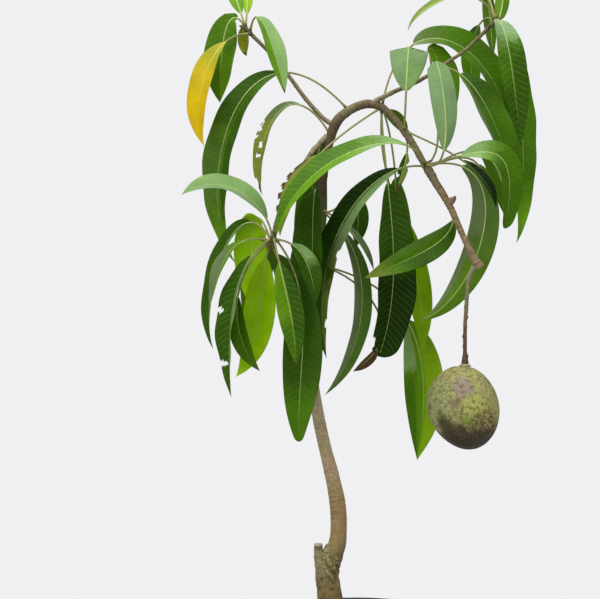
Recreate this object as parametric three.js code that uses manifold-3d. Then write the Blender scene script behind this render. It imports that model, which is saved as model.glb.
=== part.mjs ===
// Grafted mango sapling in a plastic nursery pot, with one hanging fruit.
// Millimetres, +Z up. The origin is the middle of the pot's flat underside.
// +X is to the right of the side that the fruit hangs on, and -Y is the front.

import * as THREE from 'three';
import { mergeVertices } from 'three/addons/utils/BufferGeometryUtils.js';
import Module from 'manifold-3d';

const wasm = await Module();
wasm.setup();

// ---------------------------------------------------------------- driving sizes

const SEAT_GAP = 0.3;

const POT = {
  height: 195,
  rimRadius: 118,
  baseRadius: 84,
  wall: 2.6,
  floor: 4,
  rimDepth: 20,
  rimStep: 3,
  lipDrop: 3,
  sides: 48,
  drainCount: 6,
  drainRadius: 6,
  drainCircle: 56,
};

const SOIL = { level: 175, edgeDrop: 5, flatRadius: 60 };

const FRUIT = {
  centre: [111.5, -20, 443.4],
  width: 82,
  depth: 75.4,
  height: 95,
  lean: 5,
  endTaper: 0.05,
  shoulder: 0.02,
  columns: 24,
  rows: 16,
};

const LEAF = {
  petioleHalf: 1.7,
  thickness: 0.0105,
  fold: 18,
  tipDraw: 0.88,
  fullness: 0.7,
  pathSteps: 48,
};

const BARK = 0x8c7a5f;
const TWIG = 0x8a8350;
const LEAF_GREEN = 0x2f661c;

// Each row of a limb is x, y, z and the radius there. The main stem is one line, from the soil
// up through the graft, over the arch and down the fruiting bough. It is cut into its limbs.

const TRUNK_LINE = [
  [-33, 0, SOIL.level, 20],
  [-34, 0, 186, 16.5],
  [-37, 0, 222, 14.4],
  [-41, 0, 249, 13.8],
  [-38.5, 0, 264, 14],
  [-29.5, 0, 284, 10.2],
  [-27.6, 0, 300, 9.4],
  [-28.5, 0, 328, 9.2],
  [-34.5, 0, 361, 8.3],
  [-42.6, 0, 393, 7.3],
  [-51, 0, 432, 7],
  [-58, 1, 480, 6.4],
  [-59.5, 2, 530, 6],
  [-54, 2, 610, 5.6],
  [-47.5, 1, 690, 5.2],
  [-40, 0, 740, 5.2],
  [-30, 0, 770, 6],
];

const ARCH_LINE = [
  [-19, 0, 781, 5.4],
  [-6, 0, 788, 5],
  [7, 0, 791, 5],
  [20, 0, 788, 4.6],
  [31, 0, 780, 3.7],
  [40, 0, 770, 3.6],
];

const BOUGH_LINE = [
  [49, 0, 758, 4.4],
  [59, 0, 743, 3.8],
  [69, -1, 725, 3.8],
  [77, -2, 712, 5],
  [88, -5, 692, 3.8],
  [100, -9, 671, 3.7],
  [109, -13, 649, 3.4],
  [118, -17, 628, 3.4],
  [126, -19, 611, 4.6],
  [132, -20, 602, 6],
];

// The rootstock's cut stub beside the graft, and the callus that has grown over the join.

const STUB_LINE = [
  [-42, -2, 253, 12],
  [-47, -3, 265, 8.8],
  [-50.5, -3, 276, 5.6],
  [-51, -3, 285, 4.9],
];

const CALLUS_LINE = [
  [-36, -9, 250, 3],
  [-38, -11, 262, 6],
  [-33, -9, 274, 5],
  [-29, -6, 288, 3],
];

const LEFT_TWIG_LINE = [
  [-32, 1, 766, 3],
  [-44, 3, 774, 2.7],
  [-64, 6, 796, 2.5],
  [-86, 9, 826, 2.3],
  [-110, 12, 855, 2.1],
  [-127, 12, 872, 2.3],
];

const RIGHT_TWIG_LINE = [
  [8, -1, 790, 3.2],
  [18, -3, 795.5, 3.1],
  [28, -4, 800.5, 2.8],
  [39, -2, 806, 2.6],
  [55, 3, 813, 2.4],
  [73, 6, 823, 2.3],
  [103, 6, 843, 2.1],
  [119, 6, 854, 2.1],
  [133, 5, 867, 2.1],
  [145, 4, 879, 2.3],
];

const LOW_SHOOT_LINE = [
  [-41, 0, 754, 3.5],
  [-50, -5, 744, 3.1],
  [-59, -10, 733, 2.9],
  [-72, -17, 712, 2.7],
  [-86, -24, 688, 2.6],
  [-97, -28, 658, 2.6],
  [-101, -30, 641, 2.8],
];

const STALK_LINE = [
  [129, -20, 606, 2.8],
  [120, -20, 592, 2.4],
  [117.5, -20, 572, 2.2],
  [116.5, -20, 556, 2.3],
  [115.3, -20, 541, 2.1],
  [115, -20, 510, 2.2],
  [115, -20, 491.2, 4.2],
];

// A leaf is one arc: lift is where its stalk heads, crown where it turns over and tip where it
// ends, each x, y, z from its root. face is the compass angle that its upper side looks to at
// the tip (0 is +X, 270 the front), and at is its place along the collar or shoot that it grows
// from. stalk is the stalk's length where it isn't the usual share of the leaf, and a torn leaf
// has lost its end: torn is the share of the blade that is left.

const MASSES = {
  leaves_top_left: [
    { at: 0, lift: [-58, -28, -6], crown: [-64, -25, -83], tip: [-53, -24, -132], width: 36, face: 226,
      stalk: 35 },
    { at: 0.5, lift: [-33, -6, 59], crown: [-33, -3, -76], tip: [-32, -4, -84], width: 42, face: 250,
      stalk: 18 },
    { at: 0.2, lift: [10, -25, 57], crown: [41, -47, -61], tip: [41, -44, -78], width: 30, face: 305,
      stalk: 23 },
    { at: 0.8, lift: [-8, 1, 30], crown: [-19, 21, 54], tip: [-18, 48, 69], width: 18, face: 90, stalk: 19 },
    { at: 0.9, lift: [4, 1, 29], crown: [1, 25, 52], tip: [-1, 48, 66], width: 14, face: 90, stalk: 17 },
    { at: 0.6, lift: [-5, 17, 28], crown: [-9, 19, -19], tip: [-1, 17, -27], width: 14, face: 290,
      stalk: 16 },
  ],
  leaf_over_left: [
    { at: 0.5, lift: [-123, -46, 132], crown: [-193, 8, -97], tip: [-133, 66, -174], width: 46, face: 224,
      stalk: 85 },
  ],
  leaves_fork: [
    { at: 0.3, lift: [-54, -18, 89], crown: [-93, -15, -16], tip: [-79, -15, -69], width: 25, face: 217,
      stalk: 50 },
    { at: 0.6, lift: [-14, 14, 4], crown: [-24, 20, -50], tip: [-24, 14, -94], width: 30, face: 265 },
    { at: 0.8, lift: [-10, 50, 0], crown: [-26, 110, -40], tip: [-26, 115, -190], width: 42, face: 100,
      stalk: 65 },
  ],
  leaves_arch: [
    { at: 0.4, lift: [-50, -23, -34], crown: [-110, -50, -79], tip: [-116, -48, -151], width: 32, face: 225,
      stalk: 98 },
    { at: 0.7, lift: [5, 12, -2], crown: [20, 22, -8], tip: [30, 22, -29], width: 18, face: 60, stalk: 8 },
    { at: 0.5, lift: [26, 53, 156], crown: [160, 49, 83], tip: [156, 42, -53], width: 52, face: 310,
      stalk: 95 },
    { at: 0.3, lift: [5, 27, -94], crown: [31, -9, -191], tip: [-3, 0, -287], width: 56, face: 298,
      stalk: 87, torn: 0.82 },
    { at: 0.6, lift: [-8, 71, -84], crown: [62, 38, -184], tip: [49, 40, -283], width: 34, face: 265,
      stalk: 120 },
    { at: 0.6, lift: [30, 153, -32], crown: [31, 129, -126], tip: [26, 130, -259], width: 40, face: 90,
      stalk: 139 },
  ],
  leaves_top_right: [
    { at: 0.2, lift: [2, -97, 12], crown: [16, -67, -92], tip: [24, -60, -147], width: 34, face: 288,
      stalk: 36 },
    { at: 0.3, lift: [45, 59, 44], crown: [49, 15, -219], tip: [31, 15, -251], width: 36, face: 300,
      stalk: 28 },
    { at: 0.6, lift: [-11, -28, 46], crown: [-87, -16, 24], tip: [-101, -19, -14], width: 16, face: 215,
      stalk: 38 },
    { at: 0.8, lift: [12, 33, 2], crown: [15, 21, 45], tip: [19, 47, 59], width: 18, face: 90, stalk: 16 },
    { at: 0.9, lift: [-7, 43, 57], crown: [0, 57, 52], tip: [7, 61, -29], width: 17, face: 90, stalk: 46 },
    { at: 0.5, lift: [8, 92, 44], crown: [-30, 86, -1], tip: [-6, 80, -73], width: 26, face: 265,
      stalk: 74 },
  ],
  leaves_right_twig: [
    { at: 0.5, lift: [38, -33, -7], crown: [70, -17, -86], tip: [78, -18, -132], width: 52, face: 312,
      stalk: 26 },
  ],
  leaves_upper_bough: [
    { at: 0.3, lift: [-2, -42, 12], crown: [0, -31, 65], tip: [4, -18, 93], width: 48, face: 82,
      stalk: 54, torn: 0.4 },
    { at: 0.1, lift: [39, -17, -22], crown: [95, -12, -40], tip: [105, -10, -91], width: 26, face: 330,
      stalk: 77 },
    { at: 0.3, lift: [12, 17, -22], crown: [-4, 1, -48], tip: [-9, 2, -71], width: 12, face: 270,
      stalk: 26 },
  ],
  leaves_lower_bough: [
    { at: 0.5, lift: [-23, -81, 50], crown: [-158, -78, -2], tip: [-170, -83, -87], width: 36, face: 224,
      stalk: 47 },
    { at: 0.6, lift: [-81, -98, 2], crown: [-139, 21, -106], tip: [-115, -21, -219], width: 36, face: 228,
      stalk: 45 },
    { at: 0.4, lift: [76, 58, -76], crown: [16, -35, -94], tip: [-71, -23, -131], width: 31, face: 252,
      stalk: 78 },
    { at: 0.5, lift: [121, 32, 31], crown: [66, 0, -157], tip: [-7, -3, -178], width: 37, face: 50,
      stalk: 44 },
    { at: 0.4, lift: [40, -59, -1], crown: [109, -50, 49], tip: [84, -43, -76], width: 36, face: 305,
      stalk: 51, torn: 0.9 },
    { at: 0.3, lift: [32, -62, -28], crown: [17, -47, 90], tip: [11, -25, 113], width: 31, face: 90,
      stalk: 48, torn: 0.74 },
    { at: 0.7, lift: [49, 111, 25], crown: [103, 118, 59], tip: [82, 114, -90], width: 24, face: 60,
      stalk: 134 },
    { at: 0.6, lift: [22, 91, 4], crown: [110, 150, 98], tip: [115, 121, -56], width: 28, face: 90,
      stalk: 149 },
    { at: 0.4, lift: [49, 17, 10], crown: [-32, 37, 260], tip: [40, 31, 70], width: 40, face: 310,
      stalk: 142 },
  ],
  leaves_low_shoot: [
    { at: 0.6, lift: [-1, -23, 41], crown: [-56, -32, 80], tip: [-98, -41, 48], width: 34, face: 222,
      stalk: 26 },
    { at: 0.8, lift: [-40, 74, 83], crown: [-93, 55, -63], tip: [-70, 59, -122], width: 32, face: 212,
      stalk: 50 },
    { at: 0.9, lift: [-31, 66, 89], crown: [-26, 58, -35], tip: [-20, 53, -78], width: 42, face: 255,
      stalk: 41 },
    { at: 0.7, lift: [-52, -6, 17], crown: [-61, -7, -38], tip: [-70, -6, -75], width: 28, face: 208,
      stalk: 32 },
    { at: 0.4, lift: [-23, 21, -46], crown: [-2, 7, -112], tip: [-42, 11, -156], width: 38, face: 265,
      stalk: 24 },
    { at: 0.3, lift: [-51, -38, -28], crown: [-51, -15, -120], tip: [-46, -21, -178], width: 46, face: 208,
      stalk: 34 },
    { at: 0.5, lift: [-48, -5, -34], crown: [-52, -17, -104], tip: [-14, -13, -147], width: 24, face: 240,
      stalk: 77 },
    { at: 0.1, lift: [6, -43, -36], crown: [26, -19, -96], tip: [25, -25, -145], width: 31, face: 280,
      stalk: 39 },
    { at: 0.2, lift: [55, -14, -62], crown: [24, -7, -154], tip: [29, -9, -230], width: 46, face: 272,
      stalk: 50, torn: 0.95 },
    { at: 0.5, lift: [35, -15, 1], crown: [45, -29, -38], tip: [48, -23, -72], width: 28, face: 300,
      stalk: 24 },
    { at: 0.8, lift: [-8, 60, 20], crown: [-24, 110, -30], tip: [-30, 112, -110], width: 40, face: 95 },
    { at: 0.7, lift: [-4, 54, -14], crown: [44, 106, -50], tip: [46, 108, -190], width: 40, face: 85 },
  ],
  leaves_trunk: [
    { at: 0.2, lift: [-7, -53, 94], crown: [-10, -16, -76], tip: [-6, -27, -103], width: 54, face: 224,
      stalk: 38 },
    { at: 0.8, lift: [-8, -12, 4], crown: [-6, -13, -20], tip: [-2, -13, -44], width: 14, face: 195 },
    { at: 0.6, lift: [70, 17, -42], crown: [60, 6, -162], tip: [6, 0, -213], width: 24, face: 297,
      stalk: 34 },
    { at: 0.7, lift: [32, -6, -15], crown: [48, -4, -39], tip: [62, -7, -71], width: 20, face: 330,
      stalk: 33 },
    { at: 0.5, lift: [2, 50, 4], crown: [-22, 90, -20], tip: [-22, 92, -170], width: 40, face: 95 },
    { at: 0.8, lift: [19, 46, -24], crown: [56, 51, 69], tip: [44, 43, -44], width: 25, face: 290,
      stalk: 60 },
  ],
  leaves_trunk_low: [
    { at: 0.5, lift: [116, 106, -21], crown: [149, 63, -92], tip: [124, 72, -235], width: 50, face: 272,
      stalk: 154 },
    { at: 0.3, lift: [47, 45, -2], crown: [126, 57, -75], tip: [45, 40, -124], width: 15, face: 330,
      stalk: 150 },
  ],
};

const STALK_SHARE = 0.15;

// ---------------------------------------------------------------- joins and cuts

function toSolid(geometry) {
  const bare = geometry.clone();
  bare.deleteAttribute('normal');
  bare.deleteAttribute('uv');
  const merged = mergeVertices(bare, 1e-4);
  return new wasm.Manifold(new wasm.Mesh({
    numProp: 3,
    vertProperties: new Float32Array(merged.attributes.position.array),
    triVerts: new Uint32Array(merged.index.array),
  }));
}

function toGeometry(solid) {
  const result = solid.getMesh();
  const geometry = new THREE.BufferGeometry();
  geometry.setAttribute('position', new THREE.BufferAttribute(new Float32Array(result.vertProperties), 3));
  geometry.setIndex(new THREE.BufferAttribute(new Uint32Array(result.triVerts), 1));
  geometry.computeVertexNormals();
  return geometry;
}

function joined(solids) {
  return solids.reduce((whole, next) => whole.add(next));
}

// ---------------------------------------------------------------- limbs

function makeLine(rows) {
  const points = rows.map(([x, y, z]) => new THREE.Vector3(x, y, z));
  return { curve: new THREE.CatmullRomCurve3(points), radii: rows.map((row) => row[3]) };
}

function radiusAt(line, t) {
  const place = THREE.MathUtils.clamp(t, 0, 1) * (line.radii.length - 1);
  const below = Math.min(Math.floor(place), line.radii.length - 2);
  const share = THREE.MathUtils.smoothstep(place - below, 0, 1);
  return THREE.MathUtils.lerp(line.radii[below], line.radii[below + 1], share);
}

// A tapering round limb along part of a line: a cylinder whose rings are laid on the curve.
function limbGeometry(line, { from = 0, to = 1, grow = 0, sides = 10, steps = 12, level = false }) {
  const geometry = new THREE.CylinderGeometry(1, 1, 1, sides, steps);
  const position = geometry.attributes.position;
  const depth = new THREE.Vector3(0, 1, 0);
  for (let i = 0; i < position.count; i += 1) {
    const along = position.getY(i) + 0.5;
    const t = THREE.MathUtils.lerp(from, to, along);
    const centre = line.curve.getPoint(t);
    const ahead = line.curve.getTangent(t);
    const back = depth.clone().addScaledVector(ahead, -ahead.dot(depth)).normalize();
    const side = ahead.clone().cross(back);
    const radius = radiusAt(line, t) + grow;
    centre.addScaledVector(side, position.getX(i) * radius);
    centre.addScaledVector(back, position.getZ(i) * radius);
    if (level && along === 0) {
      centre.z = line.curve.points[0].z;
    }
    position.setXYZ(i, centre.x, centre.y, centre.z);
  }
  return geometry;
}

function limbSolid(line, options) {
  return toSolid(limbGeometry(line, options));
}

// ---------------------------------------------------------------- leaves

// The leaf's path, with its upper side carried back from the tip without turning.
function leafPath(root, row) {
  const arc = new THREE.CubicBezierCurve3(
    root,
    root.clone().add(new THREE.Vector3(...row.lift)),
    root.clone().add(new THREE.Vector3(...row.crown)),
    root.clone().add(new THREE.Vector3(...row.tip)),
  );
  const path = [];
  const facing = THREE.MathUtils.degToRad(row.face);
  let up = new THREE.Vector3(Math.cos(facing), Math.sin(facing), 0);
  for (let step = LEAF.pathSteps; step >= 0; step -= 1) {
    const u = step / LEAF.pathSteps;
    const ahead = arc.getTangentAt(u);
    up = up.clone().addScaledVector(ahead, -ahead.dot(up)).normalize();
    path.unshift({ point: arc.getPointAt(u), ahead, up });
  }
  return { path, length: arc.getLength() };
}

function pathPlace(path, u) {
  const place = u * (path.length - 1);
  const below = Math.min(Math.floor(place), path.length - 2);
  const share = place - below;
  const first = path[below];
  const second = path[below + 1];
  return {
    point: first.point.clone().lerp(second.point, share),
    ahead: first.ahead.clone().lerp(second.ahead, share).normalize(),
    up: first.up.clone().lerp(second.up, share).normalize(),
  };
}

// Half the blade's width at a share of its length, as a share of the widest: nearly parallel
// sides, a round shoulder at the base and a drawn-out tip.
function bladeShape(share) {
  const inside = THREE.MathUtils.clamp(share, 0, 1);
  return Math.sin(Math.PI * inside ** LEAF.tipDraw) ** LEAF.fullness;
}

const BLADE_STATIONS = [0.05, 0.16, 0.3, 0.46, 0.62, 0.77, 0.9, 1];

// Stalk and blade in one closed body: a box two cells wide, laid along the path and folded
// up a little on both sides of the midrib.
function leafSolid(root, row) {
  const { path, length } = leafPath(root, row);
  const stalkShare = row.stalk ? row.stalk / length : STALK_SHARE;
  const kept = row.torn ?? 1;
  const stations = [0, stalkShare * 0.9];
  BLADE_STATIONS.forEach((share) => stations.push(stalkShare + share * (1 - stalkShare)));
  const cells = stations.length - 1;
  const geometry = new THREE.BoxGeometry(2, 1, 1, 2, 1, cells);
  const position = geometry.attributes.position;
  const fold = THREE.MathUtils.degToRad(LEAF.fold);
  const bladeThickness = length * LEAF.thickness;
  for (let i = 0; i < position.count; i += 1) {
    const station = Math.round((position.getZ(i) + 0.5) * cells);
    const u = stations[station];
    const { point, ahead, up } = pathPlace(path, u);
    const side = up.clone().cross(ahead);
    const inBlade = station > 1;
    const half = inBlade
      ? Math.max(bladeShape((u - stalkShare) / (1 - stalkShare) * kept) * row.width * 0.5, 1)
      : LEAF.petioleHalf;
    const thickness = inBlade ? bladeThickness : LEAF.petioleHalf * 2;
    const across = position.getX(i) * half;
    point.addScaledVector(side, across * Math.cos(fold));
    point.addScaledVector(up, Math.abs(across) * Math.sin(fold) * (inBlade ? 1 : 0));
    point.addScaledVector(up, position.getY(i) * thickness);
    position.setXYZ(i, point.x, point.y, point.z);
  }
  return toSolid(geometry);
}

// ---------------------------------------------------------------- pot, soil and fruit

function latheSolid(profile, sides) {
  const lathe = new THREE.LatheGeometry(profile.map(([radius, z]) => new THREE.Vector2(radius, z)), sides);
  lathe.rotateX(Math.PI / 2);
  return toSolid(lathe);
}

function outerRadius(z) {
  return THREE.MathUtils.lerp(POT.baseRadius, POT.rimRadius - POT.rimStep - 1, z / POT.height);
}

function makePot() {
  const rimFoot = POT.height - POT.rimDepth;
  const body = latheSolid([
    [0, 0],
    [POT.baseRadius - 2, 0],
    [POT.baseRadius, 2],
    [outerRadius(rimFoot), rimFoot],
    [POT.rimRadius - 1, rimFoot],
    [POT.rimRadius, POT.height - POT.lipDrop],
    [POT.rimRadius - 1.5, POT.height],
    [outerRadius(POT.height) - POT.wall, POT.height],
    [outerRadius(rimFoot) - POT.wall, rimFoot],
    [POT.baseRadius - POT.wall, POT.floor + 3],
    [POT.baseRadius - POT.wall - 3, POT.floor],
    [0, POT.floor],
  ], POT.sides);
  const drains = [];
  for (let i = 0; i < POT.drainCount; i += 1) {
    const angle = (i + 0.5) * 2 * Math.PI / POT.drainCount;
    const drain = new THREE.CylinderGeometry(POT.drainRadius, POT.drainRadius, POT.floor * 3, 12);
    drain.rotateX(Math.PI / 2);
    drain.translate(POT.drainCircle * Math.cos(angle), POT.drainCircle * Math.sin(angle), 0);
    drains.push(toSolid(drain));
  }
  return body.subtract(joined(drains));
}

function makeSoil() {
  const inner = (z) => outerRadius(z) - POT.wall - SEAT_GAP;
  const edge = SOIL.level - SOIL.edgeDrop;
  const bottom = POT.floor + SEAT_GAP;
  return latheSolid([
    [0, bottom],
    [POT.baseRadius - POT.wall - 3 - SEAT_GAP, bottom],
    [POT.baseRadius - POT.wall - SEAT_GAP, bottom + 3],
    [inner(edge) - 0.5, edge],
    [SOIL.flatRadius, SOIL.level],
    [0, SOIL.level],
  ], POT.sides);
}

// An egg-shaped fruit, fuller above, with its lowest point pushed to one side.
function makeFruit() {
  const geometry = new THREE.SphereGeometry(1, FRUIT.columns, FRUIT.rows);
  geometry.rotateX(Math.PI / 2);
  const position = geometry.attributes.position;
  for (let i = 0; i < position.count; i += 1) {
    const z = position.getZ(i);
    const girth = 1 - FRUIT.endTaper * z * z + FRUIT.shoulder * z;
    const shift = FRUIT.lean * (1 - z) * (1 - z) * 0.25;
    position.setXYZ(
      i,
      FRUIT.centre[0] + position.getX(i) * girth * FRUIT.width / 2 + shift,
      FRUIT.centre[1] + position.getY(i) * girth * FRUIT.depth / 2,
      FRUIT.centre[2] + z * FRUIT.height / 2,
    );
  }
  return toSolid(geometry);
}

// ---------------------------------------------------------------- assembly

const stem = makeLine([...TRUNK_LINE, ...ARCH_LINE, ...BOUGH_LINE]);
const stemRows = stem.radii.length - 1;
const atRow = (row) => row / stemRows;
const forkRow = TRUNK_LINE.length - 1;
const summitRow = forkRow + 3.3;
const elbowRow = forkRow + ARCH_LINE.length + 0.6;
const nodeRow = forkRow + ARCH_LINE.length + 4;

// The 0.3 mm cuts between the limbs, as shares of the main stem's line.
function cutEnds(fromRow, toRow) {
  const half = (row) => SEAT_GAP / 2 / (stem.curve.getPoint(atRow(row) + 0.001)
    .distanceTo(stem.curve.getPoint(atRow(row) - 0.001)) / 0.002);
  return {
    from: fromRow === 0 ? 0 : atRow(fromRow) + half(fromRow),
    to: toRow === stemRows ? 1 : atRow(toRow) - half(toRow),
  };
}

const leftTwig = makeLine(LEFT_TWIG_LINE);
const rightTwig = makeLine(RIGHT_TWIG_LINE);
const lowShoot = makeLine(LOW_SHOOT_LINE);
const stalk = makeLine(STALK_LINE);

const stub = makeLine(STUB_LINE);
const callus = makeLine(CALLUS_LINE);

// What other pieces keep clear of: the limbs' own tubes, a little larger than the seat's gap
// because a tube made of flat faces cuts across its bends.
const CLEAR = 0.45;
const stemSpace = limbSolid(stem, { grow: CLEAR, sides: 14, steps: 160 });
const rightTwigSpace = limbSolid(rightTwig, { grow: CLEAR, sides: 10, steps: 50 });
const leftTwigSpace = limbSolid(leftTwig, { grow: CLEAR, sides: 10, steps: 30 });
const lowShootSpace = limbSolid(lowShoot, { grow: CLEAR, sides: 10, steps: 30 });

const limbs = {
  trunk: joined([
    limbSolid(stem, { ...cutEnds(0, forkRow), sides: 14, steps: 40, level: true }),
    limbSolid(stub, { sides: 10, steps: 4 }),
    limbSolid(callus, { sides: 8, steps: 6 }),
  ]),
  arch_rising: limbSolid(stem, { ...cutEnds(forkRow, summitRow), steps: 8 }),
  arch_falling: limbSolid(stem, { ...cutEnds(summitRow, elbowRow), steps: 8 }),
  fruiting_bough_upper: limbSolid(stem, { ...cutEnds(elbowRow, nodeRow), steps: 8 }),
  fruiting_bough_lower: limbSolid(stem, { ...cutEnds(nodeRow, stemRows), steps: 14 }),
  left_twig: limbSolid(leftTwig, { sides: 8 }).subtract(stemSpace),
  right_twig: limbSolid(rightTwig, { sides: 8, steps: 14 }).subtract(stemSpace),
  low_shoot: limbSolid(lowShoot, { sides: 8 }).subtract(stemSpace),
  fruit_stalk: limbSolid(stalk, { sides: 8, steps: 12 }).subtract(stemSpace),
};

// Where each mass grows: a collar round a limb, or a shoot that carries on from a limb's tip.
const COLLAR = 1.6;
const TIP_SHOOT = 14;

function collarOn(line, from, to, space) {
  return {
    stem: limbSolid(line, { from, to, grow: COLLAR, sides: 10, steps: 2 }),
    space,
    rootAt: (share) => line.curve.getPoint(THREE.MathUtils.lerp(from, to, share)),
  };
}

function shootOn(line, space) {
  const end = line.curve.getPoint(1);
  const ahead = line.curve.getTangent(1);
  const start = end.clone().addScaledVector(ahead, SEAT_GAP);
  const radius = line.radii.at(-1);
  const swelling = [[0, radius], [0.4, radius + 0.8], [0.8, radius], [1, 1]];
  const rows = swelling.map(([share, r]) => [
    ...start.clone().addScaledVector(ahead, TIP_SHOOT * share).toArray(),
    r,
  ]);
  const shoot = makeLine(rows);
  return {
    stem: limbSolid(shoot, { sides: 8, steps: 6 }),
    space,
    rootAt: (share) => shoot.curve.getPoint(0.1 + share * 0.7),
  };
}

const places = {
  leaves_top_left: shootOn(leftTwig, leftTwigSpace),
  leaf_over_left: collarOn(stem, atRow(forkRow + 1), atRow(forkRow + 1.5), stemSpace),
  leaves_fork: collarOn(stem, atRow(forkRow - 0.65), atRow(forkRow - 0.4), stemSpace.add(lowShootSpace)),
  leaves_arch: collarOn(stem, atRow(forkRow + 4), atRow(forkRow + 4.4), stemSpace),
  leaves_top_right: shootOn(rightTwig, rightTwigSpace),
  leaves_right_twig: collarOn(rightTwig, 0.6, 0.64, rightTwigSpace),
  leaves_upper_bough: collarOn(stem, atRow(elbowRow + 0.1), atRow(elbowRow + 0.6), stemSpace),
  leaves_lower_bough: collarOn(stem, atRow(nodeRow - 1.1), atRow(nodeRow - 0.1), stemSpace),
  leaves_low_shoot: shootOn(lowShoot, lowShootSpace),
  leaves_trunk: collarOn(stem, atRow(forkRow - 2.4), atRow(forkRow - 2.2), stemSpace),
  leaves_trunk_low: collarOn(stem, atRow(forkRow - 3.1), atRow(forkRow - 2.98), stemSpace),
};

function massSolid(name) {
  const place = places[name];
  const leaves = MASSES[name].map((row) => leafSolid(place.rootAt(row.at), row));
  return joined([place.stem, ...leaves]).subtract(place.space);
}

const plant = new THREE.Group();

function addPart(name, solid, color, roughness) {
  const material = new THREE.MeshStandardMaterial({ color, roughness, metalness: 0 });
  const mesh = new THREE.Mesh(toGeometry(solid), material);
  mesh.name = name;
  plant.add(mesh);
}

addPart('pot', makePot(), 0x14181a, 0.5);
addPart('soil', makeSoil(), 0x3a2c20, 1);
addPart('mango_fruit', makeFruit(), 0x7d8040, 0.6);
Object.entries(limbs).forEach(([name, solid]) => {
  addPart(name, solid, name === 'trunk' ? BARK : TWIG, 0.85);
});
Object.keys(MASSES).forEach((name) => addPart(name, massSolid(name), LEAF_GREEN, 0.5));

export default plant;
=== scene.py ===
import itertools
import random
from math import atan2, cos, exp, hypot, pi, radians, sin, sqrt

import bpy
import numpy as np
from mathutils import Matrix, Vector
from mathutils.noise import fractal, noise

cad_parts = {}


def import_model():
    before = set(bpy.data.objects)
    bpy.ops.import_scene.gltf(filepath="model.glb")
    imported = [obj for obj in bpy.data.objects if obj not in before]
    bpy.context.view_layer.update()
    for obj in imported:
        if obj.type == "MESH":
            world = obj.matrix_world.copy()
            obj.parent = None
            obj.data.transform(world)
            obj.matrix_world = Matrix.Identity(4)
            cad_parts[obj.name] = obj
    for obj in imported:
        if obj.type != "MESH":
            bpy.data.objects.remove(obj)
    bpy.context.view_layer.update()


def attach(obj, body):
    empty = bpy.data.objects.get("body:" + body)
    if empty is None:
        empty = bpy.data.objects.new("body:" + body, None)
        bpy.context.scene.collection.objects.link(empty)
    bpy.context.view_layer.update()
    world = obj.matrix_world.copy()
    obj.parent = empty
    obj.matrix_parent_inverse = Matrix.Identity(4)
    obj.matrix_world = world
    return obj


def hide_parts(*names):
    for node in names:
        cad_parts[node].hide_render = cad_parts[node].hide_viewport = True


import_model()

bpy.ops.object.select_all(action="DESELECT")

# ---------------- camera
# A level camera in front of the plant, a little to its left, that looks along +Y at the
# height of the crown's lower leaves, and cuts off the pot below its rim.

MM = 0.001
CAMERA_PLACE = (-72, -1400, 566)
SENSOR_WIDTH = 36
# The width in mm that the camera sees at the plant.
VIEW_WIDTH = 690

bpy.ops.object.camera_add(
    location=[c * MM for c in CAMERA_PLACE], rotation=(radians(90), 0, 0))
camera = bpy.context.object
camera.name = "camera"
camera.data.sensor_width = SENSOR_WIDTH
camera.data.lens = SENSOR_WIDTH * -CAMERA_PLACE[1] / VIEW_WIDTH
bpy.context.scene.camera = camera

# ---------------- studio
# A plain pale floor under a pale sky, with one wide softbox overhead and a fill from the
# front left. The light comes from everywhere, so shadows are faint.

SKY_LIGHT = 0.62
# What glossy surfaces see: a sky that is dim at the sides and brightens from one height of
# the look upwards to another.
SKY_GLOSS = (0.03, 1.3)
SKY_GLOSS_RISE = (0.25, 0.85)
FLOOR_RADIUS = 0.88
LAMP_AIM = Vector((0, 0, 0.55))
# Each softbox has a place and a width in metres and a power in watts.
SOFTBOXES = [
    ("softbox_overhead", (-0.2, -0.5, 2.3), 1.8, 26),
    ("softbox_front_left", (-1.7, -1.9, 1.5), 1.2, 12),
]


def linear(code):
    """A screen colour such as #2f661c as the linear colour that a shader takes."""
    parts = [int(code[i:i + 2], 16) / 255 for i in (1, 3, 5)]
    return tuple(p / 12.92 if p <= 0.04045 else ((p + 0.055) / 1.055) ** 2.4 for p in parts) + (1,)


def add_node(graph, kind, sockets=(), **settings):
    """A new shader node's outputs. Each of its sockets gets a value, or an output to follow."""
    node = graph.nodes.new("ShaderNode" + kind)
    for name, value in settings.items():
        setattr(node, name, value)
    for socket, value in dict(sockets).items():
        if isinstance(value, bpy.types.NodeSocket):
            graph.links.new(value, node.inputs[socket])
        else:
            node.inputs[socket].default_value = value
    return node.outputs


def spread(graph, value, span, reach=(0, 1), **settings):
    """A value that goes from one end of a reach to the other as it crosses a span."""
    ends = {"From Min": span[0], "From Max": span[1], "To Min": reach[0], "To Max": reach[1]}
    return add_node(graph, "MapRange", {"Value": value, **ends}, **settings)["Result"]


def own_noise(graph, scale, detail=2, roughness=0.5):
    """Noise that lies fixed in the piece's own space."""
    where = add_node(graph, "TexCoord")["Object"]
    return add_node(graph, "TexNoise", {
        "Vector": where, "Scale": scale, "Detail": detail, "Roughness": roughness})["Fac"]


def bare_material(name, code, roughness, specular=0.5):
    """A material, its node graph and the graph's one Principled BSDF."""
    material = bpy.data.materials.new(name)
    material.use_nodes = True
    shader = material.node_tree.nodes["Principled BSDF"]
    shader.inputs["Base Color"].default_value = linear(code)
    shader.inputs["Roughness"].default_value = roughness
    shader.inputs["Specular IOR Level"].default_value = specular
    return material, material.node_tree, shader


def add_relief(graph, shader, height, strength, **distance):
    """A bump from a height."""
    relief = add_node(graph, "Bump", {"Height": height, "Strength": strength, **distance})
    graph.links.new(relief["Normal"], shader.inputs["Normal"])


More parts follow.
